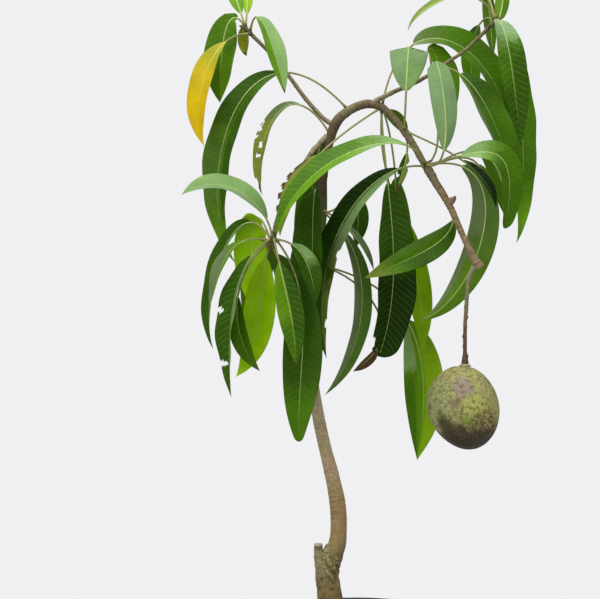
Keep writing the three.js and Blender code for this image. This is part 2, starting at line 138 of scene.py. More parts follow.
bpy.context.scene.view_settings.view_transform = "Standard"
world = bpy.data.worlds.new("pale_sky")
world.use_nodes = True
graph = world.node_tree
toward = add_node(graph, "TexCoord")["Generated"]
rise = add_node(graph, "SeparateXYZ", {0: toward})["Z"]
seen = add_node(graph, "LightPath")
gloss = spread(graph, rise, SKY_GLOSS_RISE, SKY_GLOSS)
unseen = spread(graph, seen["Is Glossy Ray"], (0, 1), (SKY_LIGHT, gloss))
sky = graph.nodes["Background"]
sky.inputs["Color"].default_value = linear("#f0f0f2")
graph.links.new(spread(graph, seen["Is Camera Ray"], (0, 1), (unseen, 1)), sky.inputs["Strength"])
bpy.context.scene.world = world

bpy.ops.mesh.primitive_circle_add(vertices=96, radius=FLOOR_RADIUS, fill_type="NGON")
floor = bpy.context.object
floor.name = "studio_floor"
paper, graph, shader = bare_material("floor_paper", "#ececee", 0.9)
add_relief(graph, shader, own_noise(graph, 40), 0.03)
floor.data.materials.append(paper)

for name, place, size, watts in SOFTBOXES:
    aim = (LAMP_AIM - Vector(place)).to_track_quat("-Z", "Y").to_euler()
    bpy.ops.object.light_add(type="AREA", location=place, rotation=aim)
    lamp = bpy.context.object
    lamp.name, lamp.data.size, lamp.data.energy = name, size, watts

# ---------------- pot
# A thin black nursery pot of moulded plastic, tapered, with a deep rolled rim band, a foot
# band and six drain holes in its floor.

POT_HEIGHT = 195
RIM_RADIUS = 118
BASE_RADIUS = 84
RIM_STEP = 3
RIM_FOOT = 175
# The band round the pot's foot, from one height to another, and how far it steps in.
FOOT_BAND = (12, 30)
FOOT_STEP = 0.7
POT_WALL = 2.6
POT_FLOOR = 4
# How far the thin pot is pulled out of round at its rim.
WARP = 0.5
DRAIN_HOLES = 6
DRAIN_CIRCLE = 56
DRAIN_RADIUS = 6
TURNED_SIDES = 120
PATCH_SPAN = (0.3, 0.7)
PATCH_TONES = (0.84, 1.14)


def outer_radius(z):
    """The outside of the pot's wall at a height."""
    return BASE_RADIUS + (RIM_RADIUS - RIM_STEP - 1 - BASE_RADIUS) * z / POT_HEIGHT


def face_outwards():
    """Turns every face of the edited mesh outwards, and leaves edit mode."""
    bpy.ops.mesh.select_all(action="SELECT")
    bpy.ops.mesh.normals_make_consistent(inside=False)
    bpy.ops.object.mode_set(mode="OBJECT")


def turned(name, rings):
    """A closed turned body: a disc that is drawn up through rings of radius and height in mm."""
    radius, z = rings[0]
    bpy.ops.mesh.primitive_circle_add(
        vertices=TURNED_SIDES, radius=radius * MM, fill_type="NGON", location=(0, 0, z * MM))
    piece = bpy.context.object
    piece.name = name
    bpy.ops.object.transform_apply(location=True)
    bpy.ops.object.mode_set(mode="EDIT")
    bpy.ops.mesh.select_all(action="SELECT")
    for next_radius, next_z in rings[1:]:
        climb = (0, 0, (next_z - z) * MM)
        bpy.ops.mesh.extrude_region_move(TRANSFORM_OT_translate={"value": climb})
        grown = next_radius / radius
        bpy.ops.transform.resize(value=(grown, grown, 1), center_override=(0, 0, next_z * MM))
        radius, z = next_radius, next_z
    face_outwards()
    return piece


def smoothed(piece, degrees):
    """Smooth shading, but for the edges that turn by more than an angle."""
    bpy.ops.object.select_all(action="DESELECT")
    piece.select_set(True)
    bpy.context.view_layer.objects.active = piece
    bpy.ops.object.shade_smooth_by_angle(angle=radians(degrees))


def multiplied(graph, first, second):
    return add_node(graph, "Mix", {"Factor": 1, 6: first, 7: second},
        data_type="RGBA", blend_type="MULTIPLY")[2]


# A shared effect: soft patches that lighten and darken a colour.
soft_patches = bpy.data.node_groups.new("soft_patches", "ShaderNodeTree")
for socket, way, kind in (
        ("Color", "INPUT", "Color"), ("Scale", "INPUT", "Float"), ("Color", "OUTPUT", "Color")):
    soft_patches.interface.new_socket(socket, in_out=way, socket_type="NodeSocket" + kind)
given = soft_patches.nodes.new("NodeGroupInput").outputs
patches = own_noise(soft_patches, given["Scale"], 5, 0.6)
tone = multiplied(soft_patches, given["Color"],
    spread(soft_patches, patches, PATCH_SPAN, PATCH_TONES))
soft_patches.links.new(tone, soft_patches.nodes.new("NodeGroupOutput").inputs["Color"])


def patched(name, code, roughness, scale, bump=0.1, bump_scale=900, specular=0.5):
    """A finish with soft patches in its colour and a fine grain in its surface."""
    material, graph, shader = bare_material(name, code, roughness, specular)
    effect = add_node(graph, "Group", {"Color": linear(code), "Scale": scale},
        node_tree=soft_patches)
    graph.links.new(effect["Color"], shader.inputs["Base Color"])
    add_relief(graph, shader, own_noise(graph, bump_scale, 3), bump, Distance=MM)
    return material


foot_rings = [(BASE_RADIUS - 2, 0), (BASE_RADIUS - 0.6, 0.5)]
wall_rings = [(outer_radius(z) - (FOOT_STEP if FOOT_BAND[0] < z < FOOT_BAND[1] else 0), z)
    for z in (2, 11, 13, 29, 31, 60, 90, 120, 150, RIM_FOOT)]
rim_rings = [(RIM_RADIUS - inset, z) for inset, z in (
    (1.6, RIM_FOOT), (1, RIM_FOOT + 0.7), (0.6, 184), (0, POT_HEIGHT - 4), (0, POT_HEIGHT - 2.4),
    (0.6, POT_HEIGHT - 0.9), (1.6, POT_HEIGHT - 0.1), (3.4, POT_HEIGHT))]
inner_rings = [(outer_radius(POT_HEIGHT) - 1.6, POT_HEIGHT - 0.3),
    (outer_radius(POT_HEIGHT) - POT_WALL, POT_HEIGHT - 1.4),
    (outer_radius(RIM_FOOT) - POT_WALL, RIM_FOOT), (BASE_RADIUS - POT_WALL, POT_FLOOR + 3),
    (BASE_RADIUS - POT_WALL - 3, POT_FLOOR)]
pot = turned("nursery_pot", foot_rings + wall_rings + rim_rings + inner_rings)
for corner in pot.data.vertices:
    angle = atan2(corner.co.y, corner.co.x)
    bulge = WARP * MM * sin(3 * angle + 1) * corner.co.z / (POT_HEIGHT * MM)
    corner.co.x += bulge * cos(angle)
    corner.co.y += bulge * sin(angle)
for i in range(DRAIN_HOLES):
    angle = (i + 0.5) * pi / (DRAIN_HOLES / 2)
    across, back = DRAIN_CIRCLE * MM * cos(angle), DRAIN_CIRCLE * MM * sin(angle)
    bpy.ops.mesh.primitive_cylinder_add(vertices=24, radius=DRAIN_RADIUS * MM,
        depth=POT_FLOOR * 4 * MM, location=(across, back, 0))
    drill = bpy.context.object
    hole = pot.modifiers.new("drain", "BOOLEAN")
    hole.operation = "DIFFERENCE"
    hole.object = drill
    bpy.context.view_layer.objects.active = pot
    bpy.ops.object.modifier_apply(modifier=hole.name)
    bpy.data.objects.remove(drill)
smoothed(pot, 35)
pot.data.materials.append(patched("black_plastic", "#15181a", 0.34, 30, 0.12, 700))
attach(pot, "root")
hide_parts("pot")

# ---------------- soil
# Dark potting soil that fills the pot to 20 mm below its rim, lumpy on top, with loose clods,
# bits of bark and a few white grains of perlite lying on it.

SOIL_LEVEL = 175
SOIL_EDGE = 170
# How far inside the wall the soil stops, and how far the loose crumbs lie from the middle.
SOIL_GAP = 0.3
CRUMB_REACH = 104
# The clear place round the trunk: its middle, from the pot's, and its radius.
TRUNK_PLACE = -33
TRUNK_CLEARING = 22


def soil_height(x, y):
    """The top of the soil at a place, in mm."""
    away = hypot(x, y)
    slope = max(0, away - 60) / 45 * (SOIL_LEVEL - SOIL_EDGE)
    broad = noise(Vector((x * 0.035, y * 0.035, 3)))
    lumps = 2.2 * broad + 1.0 * noise(Vector((x * 0.16, y * 0.16, 8)))
    return SOIL_LEVEL - 0.6 - slope + lumps


inside = POT_WALL + SOIL_GAP
soil = turned("potting_soil", [
    (BASE_RADIUS - inside - 3, POT_FLOOR + SOIL_GAP),
    (BASE_RADIUS - inside, POT_FLOOR + 3 + SOIL_GAP),
    (outer_radius(90) - inside, 90), (outer_radius(168) - inside, 168),
    (outer_radius(SOIL_EDGE) - inside - 0.3, SOIL_EDGE),
    *((radius, SOIL_LEVEL) for radius in range(CRUMB_REACH, 1, -3))])
for corner in soil.data.vertices:
    x, y, z = corner.co / MM
    if z > SOIL_LEVEL - 0.5:
        corner.co.z = (soil_height(x, y) + 0.5 * noise(Vector((x, y, 0)) * 0.7)) * MM
smoothed(soil, 50)
soil.data.materials.append(patched("damp_soil", "#3b2c20", 0.95, 160, 0.9, 1400))
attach(soil, "root")
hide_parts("soil")

bpy.ops.mesh.primitive_ico_sphere_add(subdivisions=2, radius=1)
lump = bpy.context.object
lump_points = np.array([v.co for v in lump.data.vertices])
lump_faces = [tuple(f.vertices) for f in lump.data.polygons]
bpy.data.objects.remove(lump)


def joined_mesh(name, points, faces, finishes, picks, smooth):
    """One piece made from lists of points in mm, faces, finishes and each face's finish."""
    mesh = bpy.data.meshes.new(name)
    mesh.from_pydata([tuple(p) for p in np.asarray(points) * MM], [], faces)
    for finish in finishes:
        mesh.materials.append(finish)
    mesh.polygons.foreach_set("material_index", picks)
    mesh.polygons.foreach_set("use_smooth", [smooth] * len(mesh.polygons))
    mesh.update()
    piece = bpy.data.objects.new(name, mesh)
    bpy.context.collection.objects.link(piece)
    return piece


draw = random.Random(5)
# A kind of crumb is its finish, how many there are, its smallest and largest size and how
# flat it is.
CRUMBS = [(patched("soil_clod", "#33261b", 0.95, 200, 0.8, 1600), 330, 0.9, 3.2, 0.75),
    (patched("bark_chip", "#6b4f36", 0.85, 120, 0.6, 900), 60, 1.2, 4.0, 0.3),
    (patched("perlite_grain", "#d8d4c8", 0.8, 300, 0.4, 1500), 34, 0.8, 1.7, 0.8)]
points, faces, picks = [], [], []
for kind, (_, count, small, large, flat) in enumerate(CRUMBS):
    for _ in range(count):
        size = small + (large - small) * draw.random() ** 2
        away = CRUMB_REACH * sqrt(draw.random())
        angle = draw.uniform(0, 2 * pi)
        x, y = away * cos(angle), away * sin(angle)
        if hypot(x - TRUNK_PLACE, y) < TRUNK_CLEARING:
            continue
        stretch = [draw.uniform(0.7, 1.3), draw.uniform(0.6, 1.1), flat]
        shape = lump_points * size * np.array(stretch)
        rough = [1 + 0.35 * noise(Vector(p) * 0.9 + Vector((x, y, 0))) for p in shape]
        turn = draw.uniform(0, pi)
        c, s = cos(turn), sin(turn)
        shape = (shape * np.array(rough)[:, None]) @ np.array([[c, s, 0], [-s, c, 0], [0, 0, 1]])
        shape += np.array([x, y, soil_height(x, y) + 0.25 * size])
        faces += [tuple(i + len(points) for i in f) for f in lump_faces]
        picks += [kind] * len(lump_faces)
        points += list(shape)
crumbs = joined_mesh("soil_crumbs", points, faces, [c[0] for c in CRUMBS], picks, False)
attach(crumbs, "root")

# ---------------- trunk and boughs
# One continuous stem from the soil through the graft, over the arch and down the fruiting
# bough. The bark is fissured on the old rootstock, ringed with leaf scars above the graft.

# Each row of a limb is x, y, z and the radius there, in mm.
TRUNK_LINE = [(-33, 0, 175, 20), (-34, 0, 186, 16.5), (-37, 0, 222, 14.4), (-41, 0, 249, 13.8),
    (-38.5, 0, 264, 14), (-29.5, 0, 284, 10.2), (-27.6, 0, 300, 9.4), (-28.5, 0, 328, 9.2),
    (-34.5, 0, 361, 8.3), (-42.6, 0, 393, 7.3), (-51, 0, 432, 7), (-58, 1, 480, 6.4),
    (-59.5, 2, 530, 6), (-54, 2, 610, 5.6), (-47.5, 1, 690, 5.2), (-40, 0, 740, 5.2),
    (-30, 0, 770, 6)]
ARCH_LINE = [(-19, 0, 781, 5.4), (-6, 0, 788, 5), (7, 0, 791, 5), (20, 0, 788, 4.6),
    (31, 0, 780, 3.7), (40, 0, 770, 3.6)]
BOUGH_LINE = [(49, 0, 758, 4.4), (59, 0, 743, 3.8), (69, -1, 725, 3.8), (77, -2, 712, 5),
    (88, -5, 692, 3.8), (100, -9, 671, 3.7), (109, -13, 649, 3.4), (118, -17, 628, 3.4),
    (126, -19, 611, 4.6), (132, -20, 602, 6)]
STEM_LINE = TRUNK_LINE + ARCH_LINE + BOUGH_LINE
# Where the fork, the elbow and the fruiting node lie, counted in rows of the stem.
STEM_ROWS = len(STEM_LINE) - 1
FORK_ROW = len(TRUNK_LINE) - 1
ELBOW_ROW = FORK_ROW + len(ARCH_LINE) + 0.6
NODE_ROW = FORK_ROW + len(ARCH_LINE) + 4
# Painted light on all bark: how much lighter the sides that look up are, and how much darker those
# that look down.
PAINTED_TOP_LIGHT = 0.3


def line_point(rows, t):
    """A point on the smooth line through a limb's rows (centripetal Catmull-Rom)."""
    points = [np.array(row[:3], float) for row in rows]
    last = len(points) - 1
    place = min(max(t, 0), 1) * last
    i = min(int(place), last - 1)
    w = place - i
    p1, p2 = points[i], points[i + 1]
    p0 = points[i - 1] if i > 0 else 2 * p1 - p2
    p3 = points[i + 2] if i + 2 <= last else 2 * p2 - p1
    gap1 = max(np.linalg.norm(p2 - p1) ** 0.5, 1e-4)
    gap0 = np.linalg.norm(p1 - p0) ** 0.5 or gap1
    gap2 = np.linalg.norm(p3 - p2) ** 0.5 or gap1
    t1 = ((p1 - p0) / gap0 - (p2 - p0) / (gap0 + gap1) + (p2 - p1) / gap1) * gap1
    t2 = ((p2 - p1) / gap1 - (p3 - p1) / (gap1 + gap2) + (p3 - p2) / gap2) * gap1
    bend = -3 * p1 + 3 * p2 - 2 * t1 - t2
    return p1 + t1 * w + bend * w ** 2 + (2 * p1 - 2 * p2 + t1 + t2) * w ** 3


def line_radius(rows, t):
    place = min(max(t, 0), 1) * (len(rows) - 1)
    i = min(int(place), len(rows) - 2)
    w = place - i
    w = w * w * (3 - 2 * w)
    return rows[i][3] * (1 - w) + rows[i + 1][3] * w


def run_along(track):
    """How far along a track each of its points lies."""
    return np.concatenate([[0], np.cumsum(np.linalg.norm(np.diff(track, axis=0), axis=1))])


def limb(name, rows, sides, step, relief, tone):
    """A tube along a limb's line: a grid that is rolled up round it, with its bark's relief.
    relief and tone take the angle, the run along the limb, the place on the unrolled bark and
    the point, and give mm and a colour."""
    ts = np.linspace(0, 1, 60 * len(rows))
    track = np.array([line_point(rows, t) for t in ts])
    run = run_along(track)
    rings = max(4, int(run[-1] / step))
    bpy.ops.mesh.primitive_grid_add(x_subdivisions=sides, y_subdivisions=rings, size=2)
    piece = bpy.context.object
    piece.name = name
    spots = np.linspace(0, run[-1], rings + 1)
    at_t = np.interp(spots, run, ts)
    centres = np.array([line_point(rows, t) for t in at_t])
    aheads = np.gradient(centres, axis=0)
    aheads /= np.linalg.norm(aheads, axis=1)[:, None]
    backs = np.array([0, 1, 0]) - aheads * aheads[:, 1:2]
    backs /= np.linalg.norm(backs, axis=1)[:, None]
    outs = np.cross(aheads, backs)
    local, tones = [], []
    for corner in piece.data.vertices:
        ring = round((corner.co.y + 1) / 2 * rings)
        angle = (corner.co.x + 1) * pi
        radius = line_radius(rows, at_t[ring])
        normal = outs[ring] * cos(angle) + backs[ring] * sin(angle)
        spot = centres[ring] + normal * radius
        around = Vector((radius * cos(angle), radius * sin(angle), spots[ring]))
        spot = spot + normal * relief(angle, spots[ring], around, spot)
        corner.co = Vector(spot) * MM
        local.append(around * MM)
        # Painted light and shade: the tint is lightened on the upper side of each limb and darkened
        # underneath.
        upper = 1 + PAINTED_TOP_LIGHT * normal[2]
        tones.append([c * upper for c in tone(angle, spots[ring], around, spot)[:3]] + [1])
    for name, kind, field, values in (
            ("along", "FLOAT_VECTOR", "vector", local), ("tint", "FLOAT_COLOR", "color", tones)):
        layer = piece.data.attributes.new(name, kind, "POINT")
        layer.data.foreach_set(field, np.array(values).ravel())
    bpy.ops.object.mode_set(mode="EDIT")
    bpy.ops.mesh.select_all(action="SELECT")
    bpy.ops.mesh.remove_doubles(threshold=1e-7)
    bpy.ops.mesh.select_all(action="DESELECT")
    bpy.ops.mesh.select_mode(type="EDGE")
    bpy.ops.mesh.select_non_manifold()
    bpy.ops.mesh.fill_holes(sides=0)
    face_outwards()
    smoothed(piece, 60)
    return piece


def two_tones(graph, value, low, high):
    """A ramp between two places and their colours."""
    ramp = graph.nodes.new("ShaderNodeValToRGB")
    for element, (position, colour) in zip(ramp.color_ramp.elements, (low, high)):
        element.position, element.color = position, colour
    graph.links.new(value, ramp.inputs["Fac"])
    return ramp.outputs["Color"]


def bark_material(name, roughness, fissure):
    """Bark that takes its colour from the limb's tint and its grain from the limb's length."""
    material, graph, shader = bare_material(name, "#8c7a5f", roughness)
    tint = add_node(graph, "Attribute", attribute_name="tint")["Color"]
    along = add_node(graph, "Attribute", attribute_name="along")["Vector"]
    stretched = add_node(graph, "Mapping", {0: along, "Scale": (1, 1, 0.8)})[0]
    banded = add_node(graph, "Mapping", {0: along, "Scale": (0.12, 0.12, 2.2)})[0]
    flecks = add_node(graph, "TexNoise", {
        "Vector": stretched, "Scale": 420, "Detail": 6, "Roughness": 0.65})["Fac"]
    rings = add_node(graph, "TexNoise", {"Vector": banded, "Scale": 300})["Fac"]
    flecked = two_tones(graph, flecks, (0.32, (0.66, 0.62, 0.56, 1)), (0.62, (1.12, 1.12, 1.1, 1)))
    ringed = two_tones(graph, rings, (0.36, (0.86, 0.83, 0.78, 1)), (0.56, (1, 1, 1, 1)))
    colour = multiplied(graph, multiplied(graph, tint, flecked), ringed)
    graph.links.new(colour, shader.inputs["Base Color"])
    add_relief(graph, shader, flecks, fissure, Distance=MM)
    return material


def hump(value, centre, width):
    return exp(-((value - centre) / width) ** 2)


def before(run, place, soft):
    """1 while a run is before a place, 0 beyond it, with a soft change."""
    return 1 / (1 + exp((run - place) / soft))


def blended(stops, value):
    """A colour between the stops of a list of places and codes."""
    shown = linear(stops[0][1])
    for (low, first), (high, second) in zip(stops, stops[1:]):
        if value >= low:
            share = min((value - low) / (high - low), 1)
            shown = tuple(a + (b - a) * share for a, b in zip(linear(first), linear(second)))
    return shown


# Places along the stem's run, in mm: the graft, the end of the old bark, the start of the
# fruiting bough, and the leaf scars.
GRAFT_RUN = 92
OLD_BARK_END = 105
BOUGH_RUN = 690
SCAR_RUNS = [142, 147, 151, 156, 161, 166, 172, 250, 253, 330, 402, 470, 540, 585]
SCAR_RUNS += [618 + 9.5 * i + 3 * sin(i * 2.1) for i in range(34)]
# The stem's colour along its run. The dark stops at 520 and 600 mm are painted shade, where the
# trunk below the arch stands in the shadow of the leaves.
STEM_TINTS_AND_SHADE = [(0, "#7a6a44"), (20, "#95804f"), (60, "#988452"), (95, "#8c7c52"), (115, "#a08c5c"),
    (150, "#a88a5e"), (200, "#b29c7a"), (300, "#b4a68a"), (420, "#9c8f76"), (520, "#54442f"),
    (600, "#5f5138"), (625, "#8a8160"), (640, "#6e6244"), (680, "#857a58"), (720, "#968a66"),
    (760, "#9c8a6a"), (800, "#96805f"), (860, "#a28a6c"), (930, "#8e7456")]


def fissures(around, run):
    """Noise that is drawn out along the stem; the bark splits where it crosses 0."""
    return noise(Vector((around.x * 0.22, around.y * 0.22, run * 0.05)))


def stem_relief(angle, run, around, spot):
    rough = 0.22 * fractal(around * 0.45, 0.8, 2.0, 3)
    lumps = 1.1 * noise(around * 0.09) + 0.5 * noise(around * 0.3)
    split = -1.3 * hump(fissures(around, run), 0, 0.07)
    folds = 1.6 * noise(around * 0.16 + Vector((5, 2, 1))) + 0.9 * noise(around * 0.5)
    scars = sum(0.3 * hump(run, place + 0.9 * sin(angle + place), 0.9) for place in SCAR_RUNS)
    bough = 0.9 * max(0, noise(around * 0.33)) * before(BOUGH_RUN, run, 12)
    return (rough + before(run, OLD_BARK_END, 9) * (lumps + split)
        + hump(run, GRAFT_RUN, 12) * folds + scars + bough)


def stem_tone(angle, run, around, spot):
    shown = blended(STEM_TINTS_AND_SHADE, run)
    scar = sum(hump(run, place + 1.8 + 0.9 * sin(angle + place), 0.8) for place in SCAR_RUNS)
    cracks = hump(fissures(around, run), 0, 0.06) * before(run, OLD_BARK_END + 7, 6)
    moss = max(0, noise(around * 0.06 + Vector((9, 0, 4)))) * 0.5
    facing = 0.4 + 0.6 * max(0, sin(angle * 2 + run * 0.02))
    graft = hump(run, GRAFT_RUN + 4, 9) * max(0, noise(around * 0.35)) * 1.2
    hollows = max(0, -noise(around * 0.4)) * before(BOUGH_RUN, run, 12)
    dark = 1 - 0.4 * min(scar, 1) * facing - 0.5 * cracks - min(graft, 0.5) - 0.5 * hollows
    red, green, blue = (c * dark for c in shown[:3])
    return (red * (1 - moss * 0.35), green, blue * (1 - moss * 0.5), 1)


def joined(pieces, finish):
    """Pieces of one finish, joined into the first of them."""
    bpy.ops.object.select_all(action="DESELECT")
    for piece in pieces:
        piece.data.materials.append(finish)
        piece.select_set(True)
    bpy.context.view_layer.objects.active = pieces[0]
    bpy.ops.object.join()
    return pieces[0]


stem = limb("stem", STEM_LINE, 36, 1.15, stem_relief, stem_tone)
bark = bark_material("bark", 0.82, 0.55)
stem.data.materials.append(bark)
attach(stem, "root")
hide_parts("trunk", "arch_rising", "arch_falling",
    "fruiting_bough_upper", "fruiting_bough_lower")

# ---------------- graft
# The cut stub of the rootstock beside the scion, with its pale cut top, the ropes of callus
# that have grown over the join, and the healed knob of a lost side shoot on the bough.

STUB_LINE = [(-42, -2, 252, 12.4), (-46, -3, 262, 9.6), (-49.5, -3, 271, 6.6), (-50.8, -3, 279, 5),
    (-51, -3, 285.6, 4.8)]
CALLUS_LINES = [
    [(-44, -5, 260, 5), (-42, -6.5, 269, 7), (-40, -6, 277, 6.4), (-38.5, -5, 284, 4),
        (-37.5, -4, 287.5, 1)],
    [(-37.5, -10, 279, 1), (-34.5, -12.2, 275, 2.2), (-30.5, -11.6, 268.5, 2.4),
        (-26.5, -8.5, 260, 1)],
    [(-43.5, -10, 275, 1), (-40.5, -13, 270, 2.4), (-35.5, -14.2, 262, 2.6), (-30, -11.4, 253, 1)],
    [(-46, -9.5, 263, 1), (-42.5, -12.6, 258, 2.6), (-37.5, -14.4, 251, 2.2), (-33, -13, 244, 0.8)],
    [(-38, 7, 248, 3), (-40, 9, 262, 5), (-36, 8, 274, 4), (-31, 6, 286, 1.5)],
]
KNOB_LINE = [(97, -9, 674, 3.2), (101.6, -9.5, 679, 3.8), (104.6, -10, 682.6, 2.4),
    (105.6, -10, 684.4, 0.8)]
# Where the stub's bark greys, and where its cut top begins, along its run.
STUB_GREY_RUN = 28
STUB_CUT_RUN = 33.6


def callus_relief(angle, run, around, spot):
    return 0.7 * noise(Vector(spot) * 0.25) + 0.35 * noise(Vector(spot) * 0.8)


def callus_tone(angle, run, around, spot):
    shade = min(max(0.3 + 1.9 * (noise(Vector(spot) * 0.42) + 0.36), 0.22), 1.25)
    return (*(c * shade for c in linear("#958a5e")[:3]), 1)


def stub_tone(angle, run, around, spot):
    if run >= STUB_CUT_RUN:
        return linear("#c9c0a4")
    return linear("#989068" if run < STUB_GREY_RUN else "#7a7250")


grafts = [limb("graft_stub", STUB_LINE, 24, 0.9, callus_relief, stub_tone)]
grafts += [limb("callus", rows, 18, 0.9, callus_relief, callus_tone) for rows in CALLUS_LINES]
grafts.append(limb("bough_knob", KNOB_LINE, 16, 0.7, callus_relief, lambda *_: linear("#8a7660")))
graft = joined(grafts, bark)
graft.name = "graft_callus"
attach(graft, "root")

# ---------------- twigs and shoots
# Three young shoots that leave the arch, brown below and green towards their tips, each with
# a swollen end where the leaves crowd and a few pointed buds.

LEFT_TWIG_LINE = [(-32, 1, 766, 3), (-44, 3, 774, 2.7), (-64, 6, 796, 2.5), (-86, 9, 826, 2.3),
    (-110, 12, 855, 2.1), (-127, 12, 872, 2.3)]
RIGHT_TWIG_LINE = [(8, -1, 790, 3.2), (18, -3, 795.5, 3.1), (28, -4, 800.5, 2.8),
    (39, -2, 806, 2.6), (55, 3, 813, 2.4), (73, 6, 823, 2.3), (103, 6, 843, 2.1),
    (119, 6, 854, 2.1), (133, 5, 867, 2.1), (145, 4, 879, 2.3)]
LOW_SHOOT_LINE = [(-41, 0, 754, 3.5), (-50, -5, 744, 3.1), (-59, -10, 733, 2.9),
    (-72, -17, 712, 2.7), (-86, -24, 688, 2.6), (-97, -28, 658, 2.6), (-101, -30, 641, 2.8)]
TIP_SHOOT = 14
SEAT_GAP = 0.3
BUD_LENGTH = 7
SCAR_SPACING = 19
TWIG_TINTS = [(0, "#978a68"), (30, "#918663"), (80, "#8a8158"), (130, "#857e54"), (170, "#6f6844")]


def scar_place(angle, run):
    """How far the nearest leaf scar's start is behind."""
    return (run + 3 * sin(angle)) % SCAR_SPACING


def twig_relief(angle, run, around, spot):
    scars = 0.3 * hump(scar_place(angle, run), 9, 1.3)
    return 0.12 * fractal(around * 0.7, 0.8, 2.0, 3) + scars


def twig_tone(angle, run, around, spot):
    dark = 1 - 0.45 * hump(scar_place(angle, run), 11, 1.2)
    return (*(c * dark for c in blended(TWIG_TINTS, run)[:3]), 1)


def tip_rows(rows):
    """The swollen tip that carries on from a twig's end, where its leaves and buds crowd."""
    end = line_point(rows, 1)
    ahead = end - line_point(rows, 0.999)
    ahead /= np.linalg.norm(ahead)
    radius = rows[-1][3]
    start = end + ahead * SEAT_GAP
    swelling = [(0, radius), (0.4, radius + 0.8), (0.8, radius), (1, 1)]
    return [(*(start + ahead * TIP_SHOOT * share), r) for share, r in swelling]


def bud_rows(rows, turn, tilt):
    """A pointed bud that stands beside the tip."""
    base, end = line_point(rows, 0.75), line_point(rows, 1)
    ahead = (end - base) / np.linalg.norm(end - base)
    side = np.cross(ahead, (0, 1, 0))
    side /= np.linalg.norm(side)
    across = np.cross(ahead, side)
    out = side * cos(turn) + across * sin(turn)
    return [(*(base + ahead * step * BUD_LENGTH + out * (1.2 + tilt * step)), r)
        for step, r in ((0, 1.5), (0.35, 1.8), (0.7, 1.2), (1, 0.25))]


TWIGS = {"left_twig": LEFT_TWIG_LINE, "right_twig": RIGHT_TWIG_LINE, "low_shoot": LOW_SHOOT_LINE}
tips = {name: tip_rows(rows) for name, rows in TWIGS.items()}
twig_bark = bark_material("green_twig_bark", 0.6, 0.35)
for name, rows in TWIGS.items():
    grown = [limb(name + "_bark", rows, 16, 1.3, twig_relief, twig_tone),
        limb(name + "_tip", tips[name], 16, 0.9, twig_relief, lambda *_: linear("#5e5233"))]
    for i in range(3):
        bud = bud_rows(tips[name], 2.1 * i + 0.5, 2.2)
        grown.append(limb(name + "_bud", bud, 10, 0.7, lambda *_: 0, lambda *_: linear("#6f6a3c")))
    twig = joined(grown, twig_bark)
    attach(twig, "root")
    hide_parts(name)

# ---------------- fruit stalk
# The woody end of the flower stalk that the fruit hangs on, bumpy where its side branches
# fell, green above and brown below, with a pale corky ring where it meets the fruit.

STALK_LINE = [(129, -20, 606, 2.8), (120, -20, 592, 2.4), (117.5, -20, 572, 2.2),
    (116.5, -20, 556, 2.3), (115.3, -20, 541, 2.1), (115, -20, 510, 2.2), (115, -20, 491.2, 4.2)]
RING_LINE = [(115, -20, 489.2, 5.2), (115, -20, 490.4, 6.6), (115, -20, 491.8, 6.4),
    (115, -20, 493, 4.2)]
STALK_TINTS = [(0, "#7e8458"), (30, "#8a8a66"), (62, "#7c6e50"), (80, "#6a543c"), (120, "#5f4634")]
KNOB_RUNS = range(8, 110, 11)


def stalk_relief(angle, run, around, spot):
    knobs = sum(1.1 * hump(run, at, 2) * max(0, cos(angle - at)) for at in KNOB_RUNS)
    return 0.2 * fractal(around * 0.6, 0.8, 2.0, 3) + knobs


def ring_relief(angle, run, around, spot):
    return 0.25 * noise(around * 0.5)


def stalk_tone(angle, run, around, spot):
    return blended(STALK_TINTS, run)


stalk = limb("fruit_stalk_bark", STALK_LINE, 16, 0.9, stalk_relief, stalk_tone)
ring = limb("stalk_ring", RING_LINE, 24, 0.5, ring_relief, lambda *_: linear("#b8aa86"))
joined([stalk, ring], twig_bark)
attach(stalk, "root")
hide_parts("fruit_stalk")

# ---------------- fruit
# A full-grown green mango with a leathery, weathered skin: netted with pale corky flecks,
# russet on its shoulder, and dark towards its lower end, partly from its own scabby skin and
# partly from painted shade under it.

FRUIT_CENTRE = (110.7, -20, 443.6)
FRUIT_WIDTH = 82
FRUIT_HEIGHT = 95
FRUIT_LEAN = 8.5
FRUIT_DEPTH_SHARE = 0.46
# How far the edge of a patch on the skin fades to each side.
PATCH_EDGE = 5
# The dark scabs, as a place and a radius.
SCABS = (((91, -47, 422), 12), ((86, -47, 436), 5), ((100, -52, 438), 2), ((106, -53, 424), 5),
    ((74, -30, 446), 2))

bpy.ops.mesh.primitive_uv_sphere_add(segments=96, ring_count=64, radius=1)
fruit = bpy.context.object
fruit.name = "mango"
for corner in fruit.data.vertices:
    x, y, z = corner.co
    girth = 1 - 0.05 * z * z + 0.02 * z
    shift = FRUIT_LEAN * (1 - z) ** 2 * 0.25
    skin = 1 + 0.008 * noise(corner.co * 1.6) + 0.003 * noise(corner.co * 7)
    dimple = 1.6 * hump(hypot(x, y), 0, 0.14) if z > 0 else 0
    corner.co = Vector((FRUIT_CENTRE[0] + x * girth * skin * FRUIT_WIDTH / 2 + shift,
        FRUIT_CENTRE[1] + y * girth * skin * FRUIT_WIDTH * FRUIT_DEPTH_SHARE,
        FRUIT_CENTRE[2] + z * skin * FRUIT_HEIGHT / 2 - dimple)) * MM
bpy.ops.object.shade_smooth()

skin, graph, shader = bare_material("mango_skin", "#8a9048", 0.55, 0.25)


def skin_noise(scale, detail=4, roughness=0.6):
    return own_noise(graph, scale, detail, roughness)


def skin_range(value, low, high):
    return spread(graph, value, (low, high), interpolation_type="SMOOTHSTEP")


def skin_maths(kind, first, second):
    return add_node(graph, "Math", {0: first, 1: second}, operation=kind)[0]


